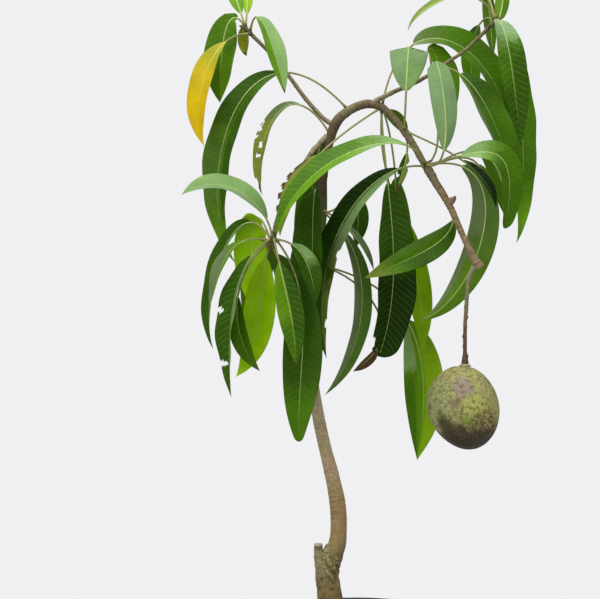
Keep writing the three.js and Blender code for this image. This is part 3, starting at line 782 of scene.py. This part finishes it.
def skin_patch(centre, radius, ragged):
    """A ragged round patch on the skin, at a place in mm."""
    where = add_node(graph, "TexCoord")["Object"]
    away = add_node(graph, "VectorMath", {0: where, 1: Vector(centre) * MM}, operation="DISTANCE")
    edge = skin_maths("MULTIPLY", skin_noise(110, 5), ragged * MM)
    reach = skin_maths("ADD", away["Value"], edge)
    middle = radius + ragged * 0.5
    return skin_range(reach, (middle + PATCH_EDGE) * MM, (middle - PATCH_EDGE) * MM)


def skin_share(mask, share):
    return skin_maths("MULTIPLY", mask, share)


netting = skin_range(skin_noise(420, 6, 0.75), 0.5, 0.58)
mottle = skin_range(skin_noise(230, 6, 0.75), 0.505, 0.57)
low_right = skin_share(skin_patch((131, -50, 427), 17, 14),
    skin_range(skin_noise(330, 5, 0.7), 0.43, 0.51))
where = add_node(graph, "TexCoord")["Object"]
height = add_node(graph, "SeparateXYZ", {0: where})["Z"]
ragged = skin_maths("ADD", height, skin_share(skin_noise(90, 6, 0.7), 0.05))
dots = skin_range(skin_noise(900, 4, 0.7), 0.56, 0.64)
# The layers of colour over the green, from below, and where each one shows.
SKIN_LAYERS = [
    ("#aaa663", skin_range(skin_noise(60), 0.4, 0.6)),
    # A grey-green patch on the left edge: the skin's own sage tone, darkened as painted shade at
    # the rim.
    ("#8f9560", skin_patch((72, -30, 455), 29, 12)),
    ("#b0b356", skin_patch((122, -55, 449), 12, 14)),
    ("#cbc684", skin_share(netting, 0.6)),
    ("#a29082", skin_patch((108, -56, 471), 12, 26)),
    ("#8a7860", skin_patch((99, -54, 450), 6, 24)),
    ("#84a038", skin_patch((112, -56, 431), 5, 10)),
    ("#6f6238", skin_share(mottle, 0.78)),
    ("#6e5630", low_right),
    *(("#3a351e", skin_share(skin_patch(place, size, 16), 0.9)) for place, size in SCABS),
    # The skin darkens by height below the fruit's middle, to near black at its lower end: painted
    # shade under the fruit, over its own darker, scabby skin.
    ("#463a26", skin_range(ragged, 0.455, 0.44)),
    ("#2c251a", skin_range(ragged, 0.443, 0.427)),
    ("#d6d09a", skin_share(dots, 0.22)),
]
colour = linear("#94975a")
for code, mask in SKIN_LAYERS:
    layers = {"Factor": mask, 6: colour, 7: linear(code)}
    colour = add_node(graph, "Mix", layers, data_type="RGBA")[2]
graph.links.new(colour, shader.inputs["Base Color"])
grain = skin_maths("ADD", skin_noise(300, 6, 0.7), dots)
add_relief(graph, shader, grain, 0.45, Distance=0.6 * MM)
fruit.data.materials.append(skin)
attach(fruit, "root")
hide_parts("mango_fruit")

# ---------------- leaves
# Long leathery leaves on thin stalks, folded a little along a pale midrib, with paired side
# veins and wavy margins: glossy above, duller below, some of them chewed or browned.

# A kind is the colour of the upper side and of the under side. Light, pale and mist are
# painted sheen, the pale sky seen in the gloss of leaves that face up, and sage is partly
# painted sheen; bright and sunlit are painted glow, light shining through leaves lit from behind.
KINDS = {"deep": ("#1e3805", "#34520e"), "dark": ("#375c0c", "#4a7014"),
    "mid": ("#4a7609", "#5c8418"), "fresh": ("#659610", "#6c9a22"),
    "bright": ("#86b206", "#8cb816"), "sunlit": ("#a2d60a", "#98c81a"),
    "light": ("#86ac64", "#86ac60"), "pale": ("#a4be86", "#98b87c"), "sage": ("#6c8250", "#6c8250"),
    "mist": ("#7e9e68", "#7e9e68"), "moss": ("#537826", "#5a7c30"), "olive": ("#7a8a30", "#7e9038"),
    "yellow": ("#dab804", "#d2b010"), "gold": ("#cdb61a", "#c4ae1c"),
    "lime": ("#a3a626", "#a8a820"), "brown": ("#5c4630", "#6b5440")}
# A mark that says less runs from the stalk to the tip and over both margins.
WHOLE_BLADE = (-0.1, 1.1, -1.2, 1.2)
MARK_SOFT = 0.18
BROWN_SOFT = 0.03
MARK_SOFT_ACROSS = 0.16
STALK_SHARE = 0.15
PATH_STEPS = 48
FOLD = radians(18)
VEIN_SPACING = 7.4
VEIN_HALF = 0.34
VEIN_SHARE = 0.13
CLEAR_VEIN_SHARE = 0.27
BLADE_HALF_THICKNESS = 0.2
ACROSS = (0.12, 0.28, 0.44, 0.6, 0.75, 0.88, 0.96)
RIB_SIDES = 8
# The blade's veins start and end this far from its ends, in shares of it.
VEIN_START = 0.02
VEIN_RUN = 0.96
VEIN_STRAY = 0.14
NARROWEST = 0.12
VEIN_PALE = "#b9cf8e"


def leaf_path(root, lift, crown, tip, face):
    """The leaf's path in even steps, its direction and its upper side, carried back from its
    tip, and its length."""
    p0, p1, p2, p3 = (np.array(root + step, float) for step in ((0, 0, 0), lift, crown, tip))
    t = np.linspace(0, 1, 401)[:, None]
    arc = (1 - t) ** 3 * p0 + 3 * t * (1 - t) ** 2 * p1 + 3 * t ** 2 * (1 - t) * p2 + t ** 3 * p3
    run = run_along(arc)
    spots = np.linspace(0, run[-1], PATH_STEPS + 1)
    point, ahead = (np.stack([np.interp(spots, run, field[:, k]) for k in range(3)], axis=1)
        for field in (arc, np.gradient(arc, axis=0)))
    ahead /= np.linalg.norm(ahead, axis=1)[:, None]
    up = np.zeros_like(point)
    look = np.array([cos(radians(face)), sin(radians(face)), 0])
    for step in range(PATH_STEPS, -1, -1):
        look = look - ahead[step] * ahead[step].dot(look)
        look /= np.linalg.norm(look)
        up[step] = look
    return point, ahead, up, run[-1]


def along(values, u):
    """Values of the path's steps at shares u of its length."""
    steps = np.linspace(0, 1, PATH_STEPS + 1)
    return np.stack([np.interp(u, steps, values[:, k]) for k in range(3)], axis=-1)


def blade_shape(share):
    inside = np.clip(share, 0, 1)
    return np.sin(np.pi * inside ** 0.88) ** (0.7 + 0.25 * inside ** 4)


class Foliage:
    """Points, faces and finishes of one mass of leaves while it grows."""

    def __init__(self):
        self.points, self.faces, self.picks, self.finishes = [], [], [], {}

    def add(self, face, finish):
        face = list(dict.fromkeys(face))
        if len(face) > 2:
            self.faces.append(face)
            self.picks.append(self.finishes.setdefault(finish, len(self.finishes)))


def grow_blade(mass, path, length, stalk, width, kind, marks, extra, seed):
    """The blade: rows along it and columns across, with an upper and an under side."""
    blade = length * (1 - stalk)
    kept = extra.get("torn", 1)
    vein_face = "_clearvein" if "clear" in extra else "_vein"
    veins = max(4, round(blade / VEIN_SPACING))
    half_vein = VEIN_HALF / blade
    vein_draw = random.Random(seed + 500)
    rows, is_vein = [0, 0.006, 0.015], [False] * 2
    for i in range(veins):
        stray = vein_draw.uniform(-VEIN_STRAY, VEIN_STRAY)
        middle = VEIN_START + (i + 0.5 + stray) / veins * VEIN_RUN
        rows += [middle - half_vein, middle + half_vein, VEIN_START + (i + 1) / veins * VEIN_RUN]
        is_vein += [False, True, False]
    rows = np.array(rows + [0.99, 1])
    is_vein += [False, False]
    across = np.array([-1, *(-a for a in reversed(ACROSS)), 0, *ACROSS, 1])
    r, c = np.meshgrid(rows, across, indexing="ij")
    size = np.abs(c)
    settle = np.clip(r * (1 - r) * 8, 0, 1)
    lean = 0.6 * blade_shape(r * kept) * width / 2 / blade * size ** 1.25
    stagger = 0.25 / veins * np.sign(c) * np.clip(size / 0.2, 0, 1) * settle
    v = np.clip(r + (lean + stagger) * np.clip((1 - r) * 12, 0, 1), 0, 1)
    half = blade_shape(v * kept) * width / 2
    if "round" in extra:
        rounded = np.clip(v - 1 + extra["round"], 0, 1) / extra["round"]
        half = half * np.sqrt(np.clip(1 - rounded ** 2.4, 0, 1))
    half = np.maximum(half, NARROWEST)
    draw = random.Random(seed)
    phase = np.where(c > 0, draw.uniform(0, 6), draw.uniform(0, 6))
    waves = blade / draw.uniform(44, 70)
    wave = 0.05 * half * size ** 2 * np.sin(2 * np.pi * waves * v + phase) * settle
    wave += 0.03 * half * size * np.sin(2 * np.pi * waves * 0.43 * v + phase * 1.7)
    middles = np.array([0.0] * 3 + [0, 0, 1] * veins + [0, 0])[:, None]
    quilt = 0.34 * middles * np.clip(size * 5, 0, 1) * (1 - size ** 3) * settle
    fold = FOLD + radians(draw.uniform(-3, 3))
    roll = radians(5) * np.sin(2 * np.pi * 0.8 * v + draw.uniform(0, 6)) * v
    u = stalk + v * (1 - stalk)
    spine, forward, top = (along(field, u) for field in path)
    side = np.cross(top, forward)
    side = side * np.cos(roll)[..., None] + top * np.sin(roll)[..., None]
    top = np.cross(forward, side)
    reach = (c * half * cos(fold))[..., None]
    lifted = (half * (size ** 1.12) * sin(fold) + wave + quilt)[..., None]
    middle = spine + side * reach + top * lifted
    thick = (BLADE_HALF_THICKNESS * (1 - size ** 6))[..., None]
    first = len(mass.points)
    rows_count, columns = r.shape
    mass.points += list((middle + top * thick).reshape(-1, 3))
    mass.points += list((middle - top * thick).reshape(-1, 3))
    lower = rows_count * columns

    def upper_at(i, j):
        return first + i * columns + j

    def lower_at(i, j):
        return upper_at(i, j) + (0 if j in (0, columns - 1) else lower)

    cells = [(i, j) for i in range(rows_count - 1) for j in range(columns - 1)]
    whole, finish = set(cells), {}
    marks = [(*mark, *WHOLE_BLADE[len(mark) - 1:]) for mark in marks]
    for i, j in cells:
        cell_v = (v[i, j] + v[i + 1, j + 1]) / 2
        cell_c = (c[i, j] + c[i, j + 1]) / 2
        wobble = noise(Vector((cell_v * blade * 0.12, cell_c * 4, seed)))
        for bite_v, bite_c, long, wide in extra.get("bites", []):
            away = ((cell_v - bite_v) / long) ** 2 + ((cell_c - bite_c) / wide) ** 2
            if away < 1 + 0.5 * wobble:
                whole.discard((i, j))
        below, above, share = kind, kind, 0
        for mark, v0, v1, c0, c1 in marks:
            soft = BROWN_SOFT if mark == "brown" else MARK_SOFT
            depth = min((cell_v - v0 + 0.06 * wobble) / soft, (v1 - cell_v) / soft,
                (cell_c - c0) / MARK_SOFT_ACROSS, (c1 - cell_c) / MARK_SOFT_ACROSS) + 0.5
            if depth > 0.12:
                below = above if share > 2 else below
                above, share = mark, min(round(depth * 4), 4)
        if share in (0, 4) or below == above:
            finish[i, j] = below if share == 0 else above
        else:
            shades = sorted([(below, 4 - share), (above, share)])
            finish[i, j] = "-".join(f"{shade}{part}" for shade, part in shades)
    for i, j in cells:
        if (i, j) not in whole:
            continue
        shade = finish[i, j]
        corners = [(i, j), (i + 1, j), (i + 1, j + 1), (i, j + 1)]
        over, under = [upper_at(*at) for at in corners], [lower_at(*at) for at in corners]
        veined = is_vein[i] and 0 < j < columns - 2
        mass.add(over, shade + (vein_face if veined else "_upper"))
        mass.add([under[0], under[3], under[2], under[1]], shade + "_under")
        chewed = "brown_upper" if "bites" in extra else shade + "_under"
        sides = [(0, 3, (i - 1, j)), (2, 1, (i + 1, j)), (1, 0, (i, j - 1)), (3, 2, (i, j + 1))]
        for near, far, beside in sides:
            if beside not in whole and 0 <= beside[1] < columns - 1:
                mass.add([over[near], over[far], under[far], under[near]], chewed)


def grow_rib(mass, path, length, stalk, kind, torn):
    """The stalk, swollen at its foot, and the midrib that it turns into, as one closed tube."""
    end = 0.992 if torn == 1 else 0.985
    stations = np.concatenate([
        np.linspace(0, stalk, 14), stalk + (end - stalk) * np.linspace(0.02, 1, 44)])
    spine, forward, top = (along(field, stations) for field in path)
    side = np.cross(top, forward)
    first = len(mass.points)
    for k, u in enumerate(stations):
        from_root = u * length
        v = max(0, (u - stalk) / (1 - stalk))
        swollen = 0.75 * exp(-((from_root - 3) / 6) ** 2)
        radius = (1.2 + swollen) * min(1, 0.75 + stalk * length / 120)
        if v > 0:
            radius = radius * (1 - 0.8 * v * torn ** 2) * 0.92
        flat = 1 - 0.3 * min(v * 20, 1)
        drop = -0.12 * radius * min(v * 20, 1)
        for s in range(RIB_SIDES):
            angle = 2 * pi * s / RIB_SIDES
            mass.points.append(spine[k] + side[k] * cos(angle) * radius
                + top[k] * (sin(angle) * radius * flat + drop))
    for k in range(len(stations) - 1):
        if stations[k] * length < 5:
            finish = "stalk_foot"
        elif stations[k] < stalk * 0.97:
            finish = "leaf_stalk"
        else:
            finish = "yellow_rib" if kind in ("yellow", "gold", "brown") else "midrib"
        for s in range(RIB_SIDES):
            a, b = first + k * RIB_SIDES + s, first + k * RIB_SIDES + (s + 1) % RIB_SIDES
            mass.add([a, a + RIB_SIDES, b + RIB_SIDES, b], finish)
    last = first + (len(stations) - 1) * RIB_SIDES
    mass.add([first + s for s in range(RIB_SIDES)], "stalk_foot")
    mass.add([last + RIB_SIDES - 1 - s for s in range(RIB_SIDES)], "midrib")


def mixed(first, second, share):
    """A screen colour between two others."""
    pairs = [(int(first[i:i + 2], 16), int(second[i:i + 2], 16)) for i in (1, 3, 5)]
    return "#" + "".join(f"{round(a + (b - a) * share):02x}" for a, b in pairs)


def leaf_finish(name):
    """The finish of a kind, or of two kinds in quarters, on its upper side, under side or veins."""
    shade, face = name.rsplit("_", 1)
    column = 1 if face == "under" else 0
    parts = shade.split("-") if "-" in shade else [shade + "4"]
    code, *others = (KINDS[part[:-1]][column] for part in parts)
    for other in others:
        code = mixed(code, other, int(parts[1][-1]) / 4)
    if face.endswith("vein"):
        code = mixed(code, VEIN_PALE, VEIN_SHARE if face == "vein" else CLEAR_VEIN_SHARE)
    dry = "brown" in shade
    shine = 0.62 if face == "under" else 0.4
    return patched(shade + "_leaf_" + face, code, 0.8 if dry else shine, 38, 0.12, 1100, 0.1)


leaf_finishes = {
    "midrib": patched("pale_midrib", "#b4c878", 0.5, 60, 0.05, 900, 0.25),
    "yellow_rib": patched("yellow_midrib", "#dcc75c", 0.5, 60, 0.05, 900, 0.25),
    "leaf_stalk": patched("leaf_stalk", "#9c9c5e", 0.55, 60, 0.1, 900, 0.25),
    "stalk_foot": patched("stalk_foot", "#6c5c38", 0.7, 90, 0.3, 900, 0.25),
}
leaf_seeds = itertools.count(1)


def collar(low, high):
    return lambda share: line_point(STEM_LINE, (low + (high - low) * share) / STEM_ROWS)


def tip_of(name):
    return lambda share: line_point(tips[name], 0.1 + 0.7 * share)


def grow_mass(node, root, leaves):
    """One mass of leaves, each on its own root."""
    mass = Foliage()
    for at, lift, crown, tip, width, face, kind, stalk_mm, *details in leaves:
        marks, extra = details + [[], {}][len(details):]
        *path, length = leaf_path(root(at), lift, crown, tip, face)
        stalk = stalk_mm / length if stalk_mm else STALK_SHARE
        grow_rib(mass, path, length, stalk, kind, extra.get("torn", 1))
        grow_blade(mass, path, length, stalk, width, kind, marks, extra, next(leaf_seeds))
    for name in mass.finishes:
        if name not in leaf_finishes:
            leaf_finishes[name] = leaf_finish(name)
    finishes = [leaf_finishes[name] for name in mass.finishes]
    foliage = joined_mesh(node + "_foliage", mass.points, mass.faces, finishes, mass.picks, True)
    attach(foliage, "root")
    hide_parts(node)


# A leaf is its place along its collar or shoot, then one arc from its root in mm: where its
# stalk heads, where it turns over and where it ends. Then come its width, the compass angle
# that its upper side looks to at the tip, its kind and its stalk's length, or None for the
# usual share. Its marks, if any, are patches of another kind: the kind, from and to along,
# from and to across, in shares of the blade. Last come rarer things: bites are holes and
# notches, as place along, place across, half length and half width; torn is the share of the
# blade that is left; round is a blunt end's share; clear says that its veins show clearly.
# Kinds and marks of light, pale and mist are painted sheen, sage is partly painted sheen, and
# bright and sunlit are painted glow.
grow_mass("leaves_top_left", tip_of("left_twig"), [
    (0, (-44, -47, -2), (-72, -17, -81), (-53, -24, -132), 36, 226, "gold", 40,
        [("lime", -0.1, 0.24), ("yellow", 0.5)]),
    (0.5, (-33, -6, 59), (-33, -3, -76), (-32, -4, -84), 42, 250, "mid", 18,
        [("fresh", 0.5, 1.1, 0)]),
    (0.2, (10, -25, 57), (38, -48, -62), (41, -44, -78), 28, 305, "light", 23,
        [("fresh", 0.1, 1.1, -1.2, -0.1), ("brown", 0.95)]),
    (0.8, (-8, 1, 30), (-19, 21, 54), (-18, 48, 69), 18, 90, "fresh", 19),
    (0.9, (4, 1, 29), (1, 25, 52), (-1, 48, 66), 14, 90, "bright", 17),
    (0.6, (-5, 17, 28), (-9, 19, -19), (-1, 17, -27), 14, 290, "lime", 16, [("brown", 0.86)]),
])
grow_mass("leaf_over_left", collar(FORK_ROW + 1, FORK_ROW + 1.5), [
    (0.5, (-126, -46, 134), (-187, 9, -98), (-133, 66, -174), 43, 224, "mid", 95,
        [("dark", -0.1, 0.36, -1.2, 0.3), ("moss", 0.36, 0.8, -1.2, 0.35), ("dark", 0.1, 0.8, 0.35),
        ("fresh", 0.75)]),
])
grow_mass("leaves_fork", collar(FORK_ROW - 0.65, FORK_ROW - 0.4), [
    (0.3, (-54, -18, 89), (-93, -15, -16), (-79, -15, -69), 25, 217, "olive", 50,
        [("sage", -0.1, 0.3), ("brown", 0.9)], {"bites": [(0.42, -0.95, 0.022, 0.3),
        (0.56, -0.2, 0.026, 0.25), (0.65, -0.35, 0.02, 0.3), (0.5, -1, 0.02, 0.3),
        (0.36, -1, 0.018, 0.3), (0.9, -0.9, 0.05, 0.5), (0.93, 0.9, 0.05, 0.4)]}),
    (0.6, (-14, 14, 4), (-24, 20, -50), (-24, 14, -94), 30, 265, "dark", None),
    (0.8, (-10, 50, 0), (-26, 110, -40), (-26, 115, -190), 42, 100, "dark", 65),
])
grow_mass("leaves_arch", collar(FORK_ROW + 4, FORK_ROW + 4.4), [
    (0.4, (-50, -23, -34), (-110, -50, -79), (-116, -48, -151), 32, 225, "olive", 98,
        [("brown", 0.1, 1.1, -1.2, -0.74)], {"bites": [(0.3, -1, 0.03, 0.2),
        (0.43, -1.05, 0.03, 0.3), (0.53, -1, 0.03, 0.25), (0.65, -1.05, 0.04, 0.35),
        (0.77, -1, 0.03, 0.3), (0.9, -1, 0.03, 0.5)]}),
    (0.7, (5, 12, -2), (20, 22, -8), (30, 22, -29), 18, 60, "mid", 8),
    (0.5, (26, 53, 156), (160, 49, 83), (156, 42, -53), 52, 310, "mid", 95, [("sage", -0.1, 0.14)]),
    (0.3, (5, 27, -94), (31, -9, -191), (-3, 0, -287), 56, 298, "dark", 87, [("deep", 0.5),
        ("brown", 0.97, 1.1, -1.2, -0.3)], {"torn": 0.82, "round": 0.07, "clear": True,
        "bites": [(0.93, -0.95, 0.03, 0.25), (0.985, -0.5, 0.02, 0.12)]}),
    (0.6, (-8, 71, -84), (62, 38, -184), (49, 40, -283), 34, 265, "bright", 120),
    (0.6, (30, 153, -32), (31, 129, -126), (26, 130, -259), 40, 90, "dark", 139),
])
grow_mass("leaves_top_right", tip_of("right_twig"), [
    (0.2, (2, -97, 12), (16, -67, -92), (24, -60, -147), 34, 288, "mid", 36, [("mist", 0, 0.3),
        ("pale", -0.1, 0.08), ("dark", 0.35, 1.1, 0.1), ("dark", 0.62)], {"clear": True}),
    (0.3, (45, 59, 44), (49, 15, -219), (31, 15, -251), 36, 300, "mid", 28, [("fresh", 0.8)]),
    (0.6, (-11, -28, 46), (-87, -16, 24), (-101, -19, -14), 16, 215, "light", 38,
        [("olive", -0.1, 1.1, -1.2, -0.1)]),
    (0.8, (12, 33, 2), (15, 21, 45), (19, 47, 59), 18, 90, "mid", 16),
    (0.9, (-7, 43, 57), (0, 57, 52), (7, 61, -29), 17, 90, "mid", 46),
    (0.5, (8, 92, 44), (-30, 86, -1), (-6, 80, -73), 26, 265, "moss", 74, [("fresh", 0.3)]),
])
grow_mass("leaves_right_twig", lambda share: line_point(RIGHT_TWIG_LINE, 0.6 + 0.04 * share), [
    (0.5, (38, -33, -7), (70, -17, -86), (78, -18, -132), 52, 312, "mid", 26,
        [("sage", 0.1, 1.1, -1.2, -0.7), ("dark", -0.1, 0.3, -0.5)]),
])
grow_mass("leaves_upper_bough", collar(ELBOW_ROW + 0.1, ELBOW_ROW + 0.6), [
    (0.3, (-2, -42, 12), (0, -31, 65), (4, -18, 93), 48, 82, "mist", 54, [("light", -0.1, 0.6, 0)],
        {"torn": 0.4, "round": 0.03}),
    (0.1, (39, -17, -22), (95, -12, -40), (105, -10, -91), 26, 330, "deep", 77,
        [("fresh", -0.1, 0.08)]),
    (0.3, (12, 17, -22), (-4, 1, -48), (-9, 2, -71), 12, 270, "olive", 26,
        [("dark", -0.1, 1.1, -1.2, 0), ("brown", 0.8)], {"bites": [(0.3, 0.9, 0.06, 0.4),
        (0.6, -0.9, 0.05, 0.5), (0.85, 0.8, 0.06, 0.5)]}),
])
grow_mass("leaves_lower_bough", collar(NODE_ROW - 1.1, NODE_ROW - 0.1), [
    (0.5, (-23, -81, 50), (-158, -78, -2), (-170, -83, -87), 36, 224, "light", 47,
        [("fresh", 0.35, 1.1, 0), ("mid", 0.25, 1.1, -1.2, 0)], {"clear": True}),
    (0.6, (-81, -98, 2), (-139, 21, -106), (-115, -21, -219), 36, 228, "deep", 45,
        [("sage", 0, 0.6, 0.06), ("light", 0.05, 0.35, 0.3), ("olive", 0.58, 1.1, 0),
        ("dark", 0.5, 1.1, -1.2, 0)], {"bites": [(0.5, 1, 0.02, 0.25), (0.84, 1, 0.02, 0.4)]}),
    (0.4, (76, 58, -76), (16, -35, -94), (-71, -23, -131), 31, 252, "mid", 78,
        [("moss", -0.1, 0.85, -1.2, -0.5), ("dark", 0, 0.6, 0), ("olive", 0.8)]),
    (0.5, (121, 32, 31), (66, 0, -157), (-7, -3, -178), 37, 50, "moss", 44, [("sage", 0, 0.45, 0.1),
        ("mid", 0.5, 1.1, -1.2, 0.5), ("sage", 0.5, 1.1, 0.6)]),
    (0.4, (40, -59, -1), (109, -50, 49), (84, -43, -76), 36, 305, "mid", 51,
        [("light", -0.1, 0.27)], {"torn": 0.9, "round": 0.07}),
    (0.3, (32, -62, -28), (17, -47, 90), (11, -25, 113), 31, 90, "mist", 48, [], {"torn": 0.74,
        "round": 0.08}),
    (0.7, (49, 111, 25), (103, 118, 59), (82, 114, -90), 24, 60, "mid", 134),
    (0.6, (22, 91, 4), (110, 150, 98), (115, 121, -56), 28, 90, "mid", 149),
    (0.4, (49, 17, 10), (-32, 37, 260), (40, 31, 70), 40, 310, "fresh", 142),
])
grow_mass("leaves_low_shoot", tip_of("low_shoot"), [
    (0.6, (-1, -23, 41), (-56, -32, 80), (-98, -41, 48), 34, 222, "mist", 26,
        [("light", 0.1, 1.1, -1.2, 0)], {"clear": True}),
    (0.8, (-40, 74, 83), (-93, 55, -63), (-70, 59, -122), 32, 212, "dark", 50,
        [("light", 0.1, 1.1, 0.4)]),
    (0.9, (-31, 66, 89), (-26, 58, -35), (-20, 53, -78), 42, 255, "sunlit", 41),
    (0.7, (-52, -6, 17), (-61, -7, -38), (-70, -6, -75), 28, 208, "fresh", 32,
        [("sage", 0.2, 1.1, -1.2, 0.2)]),
    (0.4, (-23, 21, -46), (-2, 7, -112), (-42, 11, -156), 38, 265, "sunlit", 24),
    (0.3, (-51, -38, -28), (-51, -15, -120), (-46, -21, -178), 46, 208, "dark", 34,
        [("light", 0.1, 1.1, 0.3)], {"clear": True, "bites": [(0.42, -0.85, 0.018, 0.2),
        (0.77, -0.8, 0.02, 0.72)]}),
    (0.5, (-48, -5, -34), (-52, -17, -104), (-14, -13, -147), 24, 240, "mid", 77,
        [("brown", 0.93)]),
    (0.1, (6, -43, -36), (26, -19, -96), (25, -25, -145), 31, 280, "fresh", 39,
        [("dark", -0.1, 1.1, 0.1), ("mid", 0.6, 1.1, -1.2, 0.1), ("brown", 0.96)], {"clear": True}),
    (0.2, (55, -14, -62), (24, -7, -154), (29, -9, -230), 46, 272, "dark", 50, [("mid", 0.7)],
        {"torn": 0.95, "round": 0.03}),
    (0.5, (35, -15, 1), (45, -29, -38), (48, -23, -72), 28, 300, "dark", 24,
        [("light", -0.1, 0.4, 0.1)]),
    (0.8, (-8, 60, 20), (-24, 110, -30), (-30, 112, -110), 40, 95, "mid", None),
    (0.7, (-4, 54, -14), (44, 106, -50), (46, 108, -190), 40, 85, "dark", None),
])
grow_mass("leaves_trunk", collar(FORK_ROW - 2.4, FORK_ROW - 2.2), [
    (0.2, (-7, -53, 94), (-10, -16, -76), (-6, -27, -103), 54, 224, "dark", 38),
    (0.8, (-8, -12, 4), (-6, -13, -20), (-2, -13, -44), 14, 195, "light", None),
    (0.6, (70, 17, -42), (60, 6, -162), (6, 0, -213), 24, 297, "sage", 34,
        [("moss", 0.15, 1.1, 0)]),
    (0.7, (32, -6, -15), (48, -4, -39), (62, -7, -71), 20, 330, "sage", 33),
    (0.5, (2, 50, 4), (-22, 90, -20), (-22, 92, -170), 40, 95, "dark", None),
    (0.8, (19, 46, -24), (56, 51, 69), (44, 43, -44), 25, 290, "dark", 60),
])
grow_mass("leaves_trunk_low", collar(FORK_ROW - 3.1, FORK_ROW - 2.98), [
    (0.5, (116, 106, -21), (149, 63, -92), (124, 72, -235), 50, 272, "fresh", 154,
        [("light", -0.1, 0.4, -1.2, -0.3), ("mid", 0.4, 1.1, -1.2, -0.4),
        ("bright", 0.2, 1.1, 0.05)]),
    (0.3, (47, 45, -2), (126, 57, -75), (45, 40, -124), 15, 330, "brown", 150),
])
